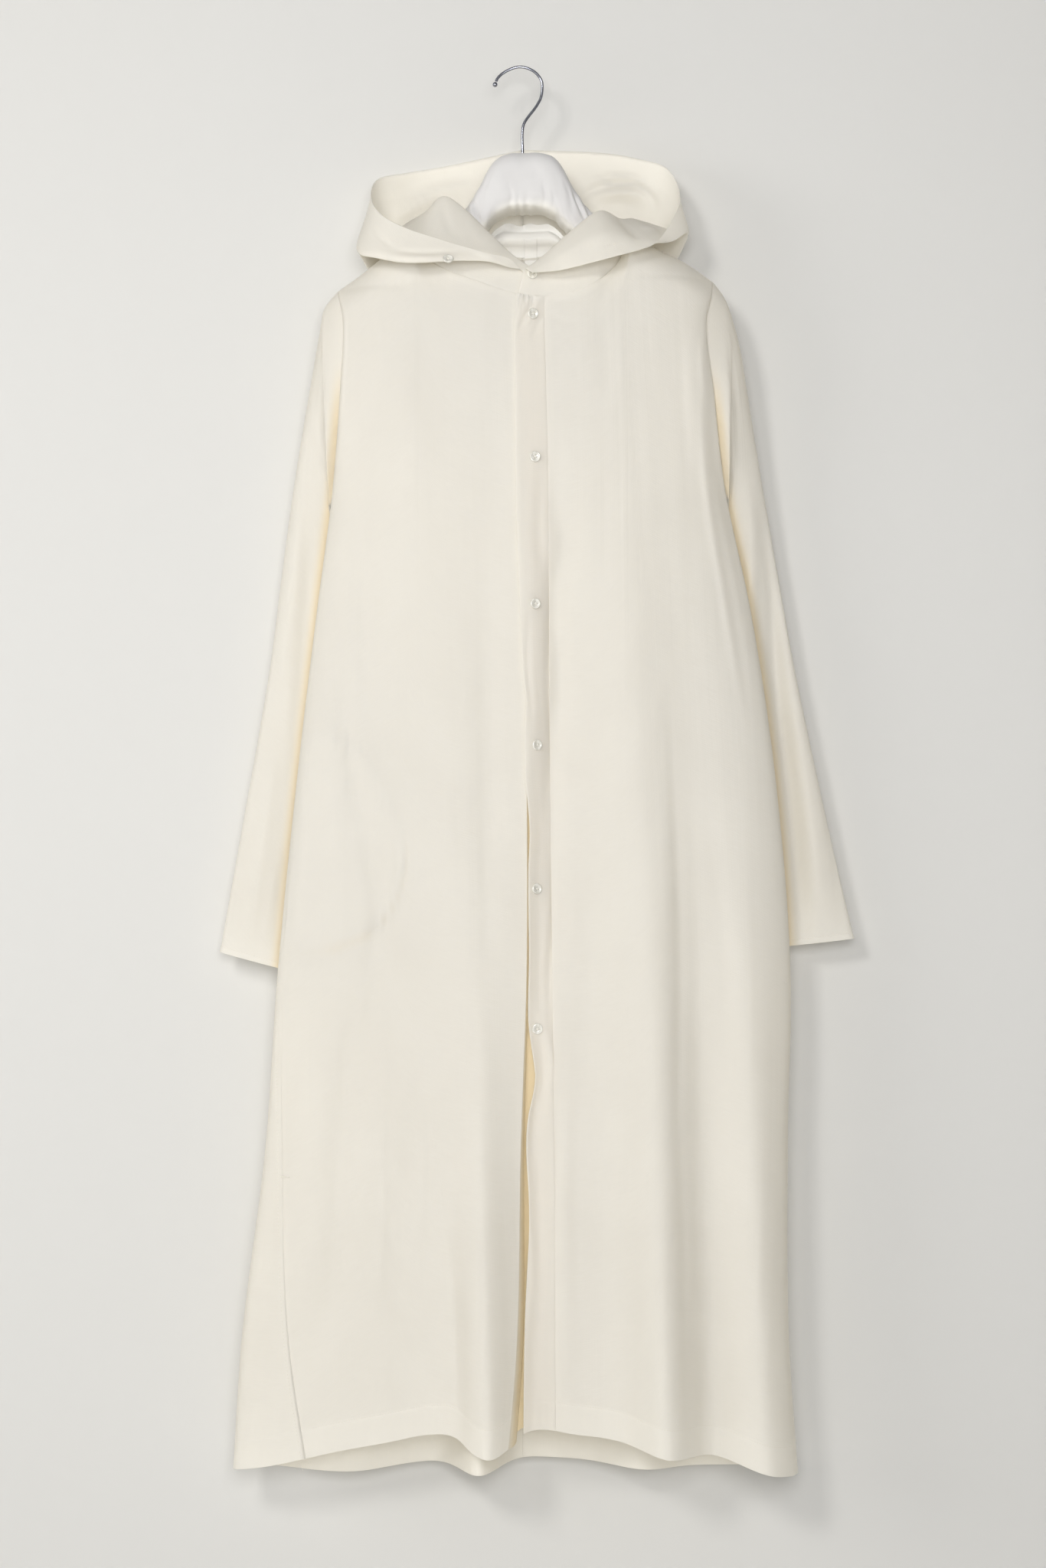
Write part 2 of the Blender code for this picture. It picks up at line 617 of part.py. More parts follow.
def make_buttons(shell):
    seats = []
    for rows, (t, share) in ((HOOD_RIGHT, HOOD_BUTTON), (HOOD_LEFT, STAND_BUTTON)):
        seats.append(hood_seat(rows, t, share))
    for x, z in FRONT_BUTTONS:
        share = (section("bandSeam", z) - x) / (section("bandSeam", z) - section("bandEdge", z))
        y = cloth_point(x, z, True)[1] - BAND_LIFT * share
        seats.append((np.array((x, y, z)), np.array((0.0, -1.0, 0.0))))
    for i, (place, normal) in enumerate(seats):
        make_button("button_{}".format(i + 1), place + normal * BUTTON_SEAT, normal, shell)


def make_hanger(cover, steel):
    bm = bmesh.new()
    rows = [(-out, up, tall, half) for out, up, tall, half in HANGER[:0:-1]] + HANGER
    rings = []
    for out, up, tall, half in rows:
        x = out + HANGER_MIDDLE
        if up is None:
            up = top(x, True)[1] - CLOTH - HANGER_REST
        else:
            up += x * math.tan(HANGER_TILT)
        square = PAD_SQUARE if abs(out) < PAD_THICK else 1.0
        ring = []
        for k in range(HANGER_SIDES):
            turn = 2 * math.pi * k / HANGER_SIDES
            y = -half * math.copysign(abs(math.sin(turn)) ** square, math.sin(turn))
            z = up - tall / 2 * (1 - math.copysign(abs(math.cos(turn)) ** square, math.cos(turn)))
            ring.append(bm.verts.new((x * MM, y * MM, z * MM)))
        rings.append(ring)
    for a, b in zip(rings, rings[1:]):
        for k in range(HANGER_SIDES):
            n = (k + 1) % HANGER_SIDES
            bm.faces.new((a[k], b[k], b[n], a[n]))
    for ring, way in ((rings[0], -1), (rings[-1], 1)):
        middle = sum((v.co for v in ring), Vector()) / HANGER_SIDES
        tip = bm.verts.new(middle + Vector((way * PAD_TIP[0], 0, PAD_TIP[1])) * MM)
        for k in range(HANGER_SIDES):
            bm.faces.new((ring[k], ring[(k + 1) % HANGER_SIDES], tip))
    bmesh.ops.recalc_face_normals(bm, faces=bm.faces)
    pad = add_object("hanger_pad", bm, cover)

    drill = bmesh.new()
    foot = HOOK[-1]
    bmesh.ops.create_cone(drill, cap_ends=True, segments=16, radius1=(WIRE + SOCKET) * MM,
                          radius2=(WIRE + SOCKET) * MM, depth=DRILL_DEPTH * MM)
    height = foot[1] + DRILL_DEPTH / 2 - SOCKET
    bmesh.ops.translate(drill, verts=drill.verts, vec=Vector((foot[0], 0, height)) * MM)
    cutter = add_object("hook_drill", drill, cover)
    cutter.hide_render = True
    cutter.display_type = "WIRE"
    cut = pad.modifiers.new("socket", "BOOLEAN")
    cut.object = cutter

    wire = bpy.data.curves.new("hanger_hook", "CURVE")
    wire.dimensions = "3D"
    wire.bevel_depth = WIRE * MM
    wire.bevel_resolution = 2
    wire.use_fill_caps = True
    keys = [0.0]
    for a, b in zip(HOOK, HOOK[1:]):
        keys.append(keys[-1] + math.dist(a, b))
    path = wire.splines.new("POLY")
    path.points.add(HOOK_STEPS)
    for i in range(HOOK_STEPS + 1):
        x, z = spline(keys, HOOK, HOOK_START + (keys[-1] - HOOK_START) * i / HOOK_STEPS)
        path.points[i].co = (x * MM, 0, z * MM, 1)
    wire.materials.append(steel)
    hook = bpy.data.objects.new("hanger_hook", wire)
    bpy.context.scene.collection.objects.link(hook)

    ball = bmesh.new()
    bmesh.ops.create_uvsphere(ball, u_segments=14, v_segments=9, radius=HOOK_BALL * MM)
    ahead = (Vector((HOOK[0][0], 0, HOOK[0][1])) - Vector((HOOK[1][0], 0, HOOK[1][1]))).normalized()
    end = Vector((path.points[0].co.x, 0, path.points[0].co.z))
    bmesh.ops.translate(ball, verts=ball.verts, vec=end + ahead * (HOOK_BALL + SEAM_GAP) * MM)
    add_object("hook_tip", ball, steel)


def main():
    for obj in list(bpy.data.objects):
        bpy.data.objects.remove(obj, do_unlink=True)
    cloth = material("ivory_cloth", (0.80, 0.77, 0.68), 0.62)
    shell = material("shell_button", (0.66, 0.62, 0.54), 0.28)
    cover = material("white_cover", (0.82, 0.81, 0.78), 0.75)
    steel = material("bright_wire", (0.62, 0.62, 0.62), 0.22, 1.0)
    fronts, right_front = make_fronts(cloth)
    backs = make_backs(cloth)
    make_sleeves(cloth, fronts, backs)
    make_hood(cloth)
    make_pocket(cloth, right_front)
    make_buttons(shell)
    make_hanger(cover, steel)


main()
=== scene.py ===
import math

import bmesh
import bpy
import numpy as np
from mathutils import Matrix, Vector


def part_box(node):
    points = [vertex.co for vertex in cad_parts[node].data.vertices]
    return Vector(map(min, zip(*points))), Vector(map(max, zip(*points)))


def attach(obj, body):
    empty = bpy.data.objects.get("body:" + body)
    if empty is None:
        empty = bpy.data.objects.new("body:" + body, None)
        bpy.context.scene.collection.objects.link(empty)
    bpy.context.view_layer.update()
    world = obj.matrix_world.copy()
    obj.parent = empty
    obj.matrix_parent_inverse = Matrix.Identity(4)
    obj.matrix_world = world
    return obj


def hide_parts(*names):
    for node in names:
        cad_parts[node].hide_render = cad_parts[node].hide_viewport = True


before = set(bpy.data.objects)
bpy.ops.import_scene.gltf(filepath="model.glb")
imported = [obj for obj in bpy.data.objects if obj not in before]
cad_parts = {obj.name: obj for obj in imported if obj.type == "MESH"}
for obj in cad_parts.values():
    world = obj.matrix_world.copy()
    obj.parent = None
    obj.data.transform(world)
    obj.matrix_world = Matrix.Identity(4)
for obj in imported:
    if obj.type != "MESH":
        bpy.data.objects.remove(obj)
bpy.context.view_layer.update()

# sizes are in millimetres unless a note says otherwise: x to the viewer's right, z up from the hook
mm = 0.001


# a smooth curve through table rows, read at many places at once
def smooth(keys, values, at):
    keys = np.asarray(keys, float)
    values = np.asarray(values, float)
    if keys[0] > keys[-1]:
        keys, values = keys[::-1], values[::-1]
    at = np.clip(at, keys[0], keys[-1])
    i = np.clip(np.searchsorted(keys, at) - 1, 0, len(keys) - 2)
    gaps = np.diff(keys)
    step = gaps[i]
    t = (at - keys[i]) / step
    wide = (1,) * (values.ndim - 1)
    step, t = step.reshape(step.shape + wide), t.reshape(t.shape + wide)
    chord = np.diff(values, axis=0) / gaps.reshape(gaps.shape + wide)
    slope = np.concatenate([chord[:1], (chord[:-1] + chord[1:]) / 2, chord[-1:]])
    blend = t * t * (3 - 2 * t)
    return (values[i] + (values[i + 1] - values[i]) * blend
            + step * (t * (1 - t) ** 2 * slope[i] - t * t * (1 - t) * slope[i + 1]))


def ease(t):
    t = np.clip(t, 0, 1)
    return t * t * (3 - 2 * t)


def lengthsAlong(points):
    return np.concatenate([[0], np.cumsum(np.linalg.norm(np.diff(points, axis=0), axis=1))])


# height of soft creases: each row is a path of (x, z), its half width and how far it stands out
def creaseHeight(x, z, rows):
    total = np.zeros_like(x)
    for path, width, height in rows:
        path = np.array(path, float)
        keys = lengthsAlong(path)
        line = smooth(keys, path, np.linspace(0, keys[-1], 5 * len(path)))
        nearest = np.full(x.shape, 1e6)
        place = np.zeros_like(x)
        for k, (a, b) in enumerate(zip(line, line[1:])):
            run = b - a
            t = np.clip(((x - a[0]) * run[0] + (z - a[1]) * run[1]) / run.dot(run), 0, 1)
            away = np.hypot(x - a[0] - t * run[0], z - a[1] - t * run[1])
            nearer = away < nearest
            nearest = np.where(nearer, away, nearest)
            place = np.where(nearer, (k + t) / (len(line) - 1), place)
        ends = np.sin(math.pi * np.clip(place, 0.02, 0.98)) ** 0.7
        total += height * np.exp(-(nearest / width) ** 2) * ends
    return total


# the slow unevenness of hanging cloth, mostly in upright streaks
def softWaves(x, z, seed, across=92, down=1500):
    turn = 2 * math.pi
    lean = 0.2 * np.sin(turn * z / down + seed)
    a = np.sin(turn * (x / across + lean + 0.37 * seed))
    swell = 0.6 + 0.4 * np.sin(turn * z / (0.7 * down) + seed)
    b = np.sin(turn * (x / (0.57 * across) - 0.7 * lean + 0.21 * seed)) * swell
    ripple = np.sin(turn * (x / (0.31 * across) + 0.5 * lean + 0.11 * seed))
    c = ripple * np.sin(turn * z / (0.45 * down) + 2 * seed)
    return 0.5 * a + 0.3 * b + 0.12 * c


def groove(away, depth, width):
    return depth * np.exp(-(away / width) ** 2)


seamSteps = (0, 0.35, 0.8, 1.5, 2.6)          # how far a panel's first columns are from its seam
foldSteps = (0, 0.3, 0.8, 1.6, 3, 5, 8, 12)   # and its last ones from the folded side edge


# shares of a width: close together beside both edges, even between them
def spread(width, step, last=seamSteps):
    start = np.array(seamSteps, float) / width
    end = 1 - np.array(last, float)[::-1] / width
    count = int(round((end[0] - start[-1]) * width / step))
    return np.concatenate([start, np.linspace(start[-1], end[0], count + 1)[1:-1], end])


# outward directions of a laid grid, whose rows run down and columns run across
def facing(points, flip=False, closed=False):
    if closed:
        loop = points[:, :-1]
        across = np.roll(loop, -1, axis=1) - np.roll(loop, 1, axis=1)
        across = np.concatenate([across, across[:, :1]], axis=1)
    else:
        across = np.gradient(points, axis=1)
    out = np.cross(np.gradient(points, axis=0), across)
    out /= np.maximum(np.linalg.norm(out, axis=2, keepdims=True), 1e-9)
    return -out if flip else out


# a flat grid laid point by point on its form, with the cloth's own lengths as its UV map
def layCloth(name, points, mat, wall, flip=False, closed=False, paintedLight=0, paintedGlow=0):
    rows, columns = points.shape[:2]
    bm = bmesh.new()
    bmesh.ops.create_grid(bm, x_segments=columns - 1, y_segments=rows - 1, size=0.5)
    if flip:
        bmesh.ops.reverse_faces(bm, faces=bm.faces)
    mesh = bpy.data.meshes.new(name)
    bm.to_mesh(mesh)
    bm.free()
    flat = np.zeros(len(mesh.vertices) * 3)
    mesh.vertices.foreach_get("co", flat)
    flat = flat.reshape(-1, 3)
    c = np.rint((flat[:, 0] + 0.5) * (columns - 1)).astype(int)
    r = np.rint((0.5 - flat[:, 1]) * (rows - 1)).astype(int)
    mesh.vertices.foreach_set("co", (points[r, c] * mm).ravel())
    across = np.linalg.norm(np.diff(points, axis=1, prepend=points[:, :1]), axis=2).cumsum(axis=1)
    down = np.linalg.norm(np.diff(points, axis=0, prepend=points[:1]), axis=2).cumsum(axis=0)
    corner = np.zeros(len(mesh.loops), int)
    mesh.loops.foreach_get("vertex_index", corner)
    lengths = np.stack([across[r, c], down[r, c]], axis=1)[corner] * mm
    mesh.uv_layers.new(name="cloth").data.foreach_set("uv", lengths.ravel())
    # painted light: how much lighter each point is painted, and how much painted warm glow it gets
    for key, value in (("paintedLight", paintedLight), ("paintedGlow", paintedGlow)):
        value = (value + 0 * points[..., 0])[r, c].astype(np.float32)
        mesh.attributes.new(key, "FLOAT", "POINT").data.foreach_set("value", value)
    if closed:
        tube = bmesh.new()
        tube.from_mesh(mesh)
        bmesh.ops.remove_doubles(tube, verts=tube.verts, dist=1e-6)
        tube.to_mesh(mesh)
        tube.free()
    mesh.update()
    mesh.shade_smooth()
    piece = bpy.data.objects.new(name, mesh)
    mesh.materials.append(mat)
    bpy.context.scene.collection.objects.link(piece)
    if wall:
        thick = piece.modifiers.new("wall", "SOLIDIFY")
        thick.thickness = wall * mm
        thick.offset = -1
    return piece


def addPiece(name, bm, mat):
    mesh = bpy.data.meshes.new(name)
    bm.to_mesh(mesh)
    bm.free()
    mesh.shade_smooth()
    mesh.materials.append(mat)
    piece = bpy.data.objects.new(name, mesh)
    bpy.context.scene.collection.objects.link(piece)
    return piece


# separate stitches along a path
def sewLine(name, path, outward, mat, pitch=2.6, length=1.9, radius=0.26, sunk=0.05):
    keys = lengthsAlong(path)
    bm = bmesh.new()
    for start in np.arange(pitch / 2, keys[-1] - pitch / 2, pitch):
        ends = [np.array([np.interp(start + s * length / 2, keys, path[:, k]) for k in range(3)])
                for s in (-1, 1)]
        up = Vector([np.interp(start, keys, outward[:, k]) for k in range(3)]).normalized()
        along = Vector(ends[1] - ends[0]).normalized()
        side = up.cross(along).normalized()
        up = along.cross(side)
        middle = Vector((ends[0] + ends[1]) / 2) + up * (radius * 0.6 - sunk)
        turn = Matrix((along, side, up)).transposed().to_4x4()
        size = Matrix.Diagonal((length / 2 * mm, radius * mm, radius * mm, 1))
        bmesh.ops.create_uvsphere(bm, u_segments=6, v_segments=4, radius=1,
                                  matrix=Matrix.Translation(middle * mm) @ turn @ size)
    return addPiece(name, bm, mat)


print("materials")
clothLook = {
    "colour": (0.958, 0.955, 0.94),
    "shade": (0.92, 0.914, 0.895),
    # painted light: the lighter tint for layered cloth and lapels, and the warm painted glow for shaded
    # hollows
    "paintedLight": (0.97, 0.966, 0.948),
    "paintedGlow": (0.985, 0.82, 0.53),
    "glow": (0.985, 0.95, 0.865),
    "through": 0.5,        # share of light that passes through one face of the cloth
    "roughness": 0.52,
    "specular": 0.35,
    "sheen": 0.25,
    "sheenRoughness": 0.4,
    "slubScale": (55, 900),      # per metre across and down
    "slub": 0.00014,             # height in metres
    "patchScale": 9,
    "toneFrom": 0.1,
    "toneTo": 0.34,
    "threadScale": {"X": 110, "Y": 130},
    "weave": 0.00003,
    # per metre across and down, and height in metres
    "streaks": ((38, 1.1, 0.0011), (95, 2.6, 0.0004), (30, 11, 0.0005)),
}


# sets the inputs of a node; one that is given a socket is linked to it
def setInputs(node, values):
    for key, value in values.items():
        if isinstance(value, bpy.types.NodeSocket):
            node.id_data.links.new(value, node.inputs[key])
        else:
            node.inputs[key].default_value = value
    return node


def addNode(nodes, kind, values, **settings):
    node = nodes.new(kind)
    for key, value in settings.items():
        setattr(node, key, value)
    return setInputs(node, values)


def newMaterial(name, values):
    mat = bpy.data.materials.new(name)
    mat.use_nodes = True
    nodes = mat.node_tree.nodes
    return mat, nodes, setInputs(nodes["Principled BSDF"], values)


# a value's place between two tones
def tones(nodes, value, dark, light, start=0, end=1):
    ramp = addNode(nodes, "ShaderNodeValToRGB", {"Fac": value})
    for element, colour, at in zip(ramp.color_ramp.elements, (dark, light), (start, end)):
        element.position = at
        element.color = (*colour, 1)
    return ramp.outputs["Color"]


# tints a colour where the attribute of that name says so
def tinted(nodes, colour, key, look):
    share = addNode(nodes, "ShaderNodeAttribute", {}, attribute_name=key)
    tint = {"Fac": share.outputs["Fac"], "Color1": colour, "Color2": (*look[key], 1)}
    return addNode(nodes, "ShaderNodeMixRGB", tint).outputs["Color"]


def bumped(nodes, height, distance, **below):
    bump = addNode(nodes, "ShaderNodeBump", {"Height": height, "Distance": distance, **below})
    return bump.outputs["Normal"]


def clothMaterial(name, look):
    mat, nodes, shader = newMaterial(name, {
        "Roughness": look["roughness"], "Specular IOR Level": look["specular"],
        "Sheen Weight": look["sheen"], "Sheen Roughness": look["sheenRoughness"],
    })
    place = addNode(nodes, "ShaderNodeUVMap", {}, uv_map="cloth").outputs["UV"]

    def noise(across, down, detail, distortion=0):
        stretch = addNode(nodes, "ShaderNodeMapping", {"Vector": place, "Scale": (across, down, 1)})
        return addNode(nodes, "ShaderNodeTexNoise", {
            "Vector": stretch.outputs["Vector"], "Scale": 1, "Detail": detail, "Distortion": distortion,
        }).outputs["Fac"]

    # slubs: thicker threads that run across, a few millimetres to a few centimetres long
    slub = noise(*look["slubScale"], 3)
    patch = noise(look["patchScale"], look["patchScale"], 2)
    both = addNode(nodes, "ShaderNodeMath", {0: slub, 1: patch}, operation="MULTIPLY")
    colour = tones(nodes, both.outputs[0], look["shade"], look["colour"], look["toneFrom"], look["toneTo"])
    # painted light: hems, bands and seam allowances are painted lighter, and narrow hollows get a painted
    # warm glow standing in for inter-reflected light in shade
    for key in ("paintedLight", "paintedGlow"):
        colour = tinted(nodes, colour, key, look)
    # warp and weft
    threads = [addNode(nodes, "ShaderNodeTexWave", {"Vector": place, "Scale": scale, "Distortion": 0.6},
                       bands_direction=axis).outputs["Fac"] for axis, scale in look["threadScale"].items()]
    weave = addNode(nodes, "ShaderNodeMath", {0: threads[0], 1: threads[1]}, operation="MAXIMUM")
    normal = bumped(nodes, weave.outputs[0], look["weave"])
    normal = bumped(nodes, slub, look["slub"], Normal=normal)
    for across, down, height in look["streaks"]:
        normal = bumped(nodes, noise(across, down, 1.5, 0.25), height, Normal=normal)
    setInputs(shader, {"Base Color": colour, "Normal": normal})
    thin = addNode(nodes, "ShaderNodeBsdfTranslucent", {"Color": (*look["glow"], 1)})
    mix = addNode(nodes, "ShaderNodeMixShader", {
        "Fac": look["through"], 1: shader.outputs["BSDF"], 2: thin.outputs["BSDF"],
    })
    setInputs(nodes["Material Output"], {"Surface": mix.outputs["Shader"]})
    return mat


ivoryCloth = clothMaterial("ivory_cloth", clothLook)
# several layers sewn together let less light through
doubleCloth = clothMaterial("ivory_cloth_double", {**clothLook, "through": 0.2})


# a texture on the piece's own coordinates
def onPiece(nodes, kind, values):
    place = addNode(nodes, "ShaderNodeTexCoord", {})
    return addNode(nodes, kind, {"Vector": place.outputs["Object"], **values}).outputs["Fac"]


threadLook = {"dark": (0.86, 0.83, 0.74), "light": (0.94, 0.92, 0.85), "scale": 900,
              "roughness": 0.6, "sheen": 0.3}


def threadMaterial(look):
    mat, nodes, shader = newMaterial("ivory_thread", {"Roughness": look["roughness"],
                                                      "Sheen Weight": look["sheen"]})
    fibres = onPiece(nodes, "ShaderNodeTexNoise", {"Scale": look["scale"]})
    setInputs(shader, {"Base Color": tones(nodes, fibres, look["dark"], look["light"])})
    return mat


ivoryThread = threadMaterial(threadLook)
shellLook = {"dark": (0.68, 0.66, 0.59), "light": (0.84, 0.82, 0.76), "scale": 60,
             "distortion": 9, "detail": 3, "roughness": 0.2, "coat": 0.5}


def shellMaterial(look):
    mat, nodes, shader = newMaterial("shell_button", {"Roughness": look["roughness"],
                                                      "Coat Weight": look["coat"]})
    layers = onPiece(nodes, "ShaderNodeTexWave", {"Scale": look["scale"], "Distortion": look["distortion"],
                                                  "Detail": look["detail"]})
    setInputs(shader, {"Base Color": tones(nodes, layers, look["dark"], look["light"])})
    return mat


shellButton = shellMaterial(shellLook)
# the cover's lighter tone is painted light for its downward-facing underside
coverLook = {"dark": (0.665, 0.655, 0.65), "light": (0.735, 0.725, 0.72), "scale": 40, "detail": 4,
             "paintedLight": (0.89, 0.875, 0.83), "weaveScale": 1400, "weave": 0.00008,
             "roughness": 0.75, "sheen": 0.15}


def coverMaterial(look):
    mat, nodes, shader = newMaterial("white_cover", {"Roughness": look["roughness"],
                                                     "Sheen Weight": look["sheen"]})
    mottle = onPiece(nodes, "ShaderNodeTexNoise", {"Scale": look["scale"], "Detail": look["detail"]})
    weave = onPiece(nodes, "ShaderNodeTexNoise", {"Scale": look["weaveScale"], "Detail": 2})
    colour = tones(nodes, mottle, look["dark"], look["light"])
    # the cover is painted lighter where it faces down: painted light on its shaded underside
    setInputs(shader, {"Base Color": tinted(nodes, colour, "paintedLight", look),
                       "Normal": bumped(nodes, weave, look["weave"])})
    return mat


whiteCover = coverMaterial(coverLook)
wireLook = {"dark": (0.26, 0.27, 0.32), "light": (0.40, 0.41, 0.46), "scale": 300, "roughness": (0.12, 0.26)}


def wireMaterial(look):
    mat, nodes, shader = newMaterial("bright_wire", {"Metallic": 1})
    drawn = onPiece(nodes, "ShaderNodeTexNoise", {"Scale": look["scale"]})
    low, high = look["roughness"]
    worn = addNode(nodes, "ShaderNodeMapRange", {"Value": drawn, "To Min": low, "To Max": high})
    setInputs(shader, {"Base Color": tones(nodes, drawn, look["dark"], look["light"]),
                       "Roughness": worn.outputs["Result"]})
    return mat


brightWire = wireMaterial(wireLook)

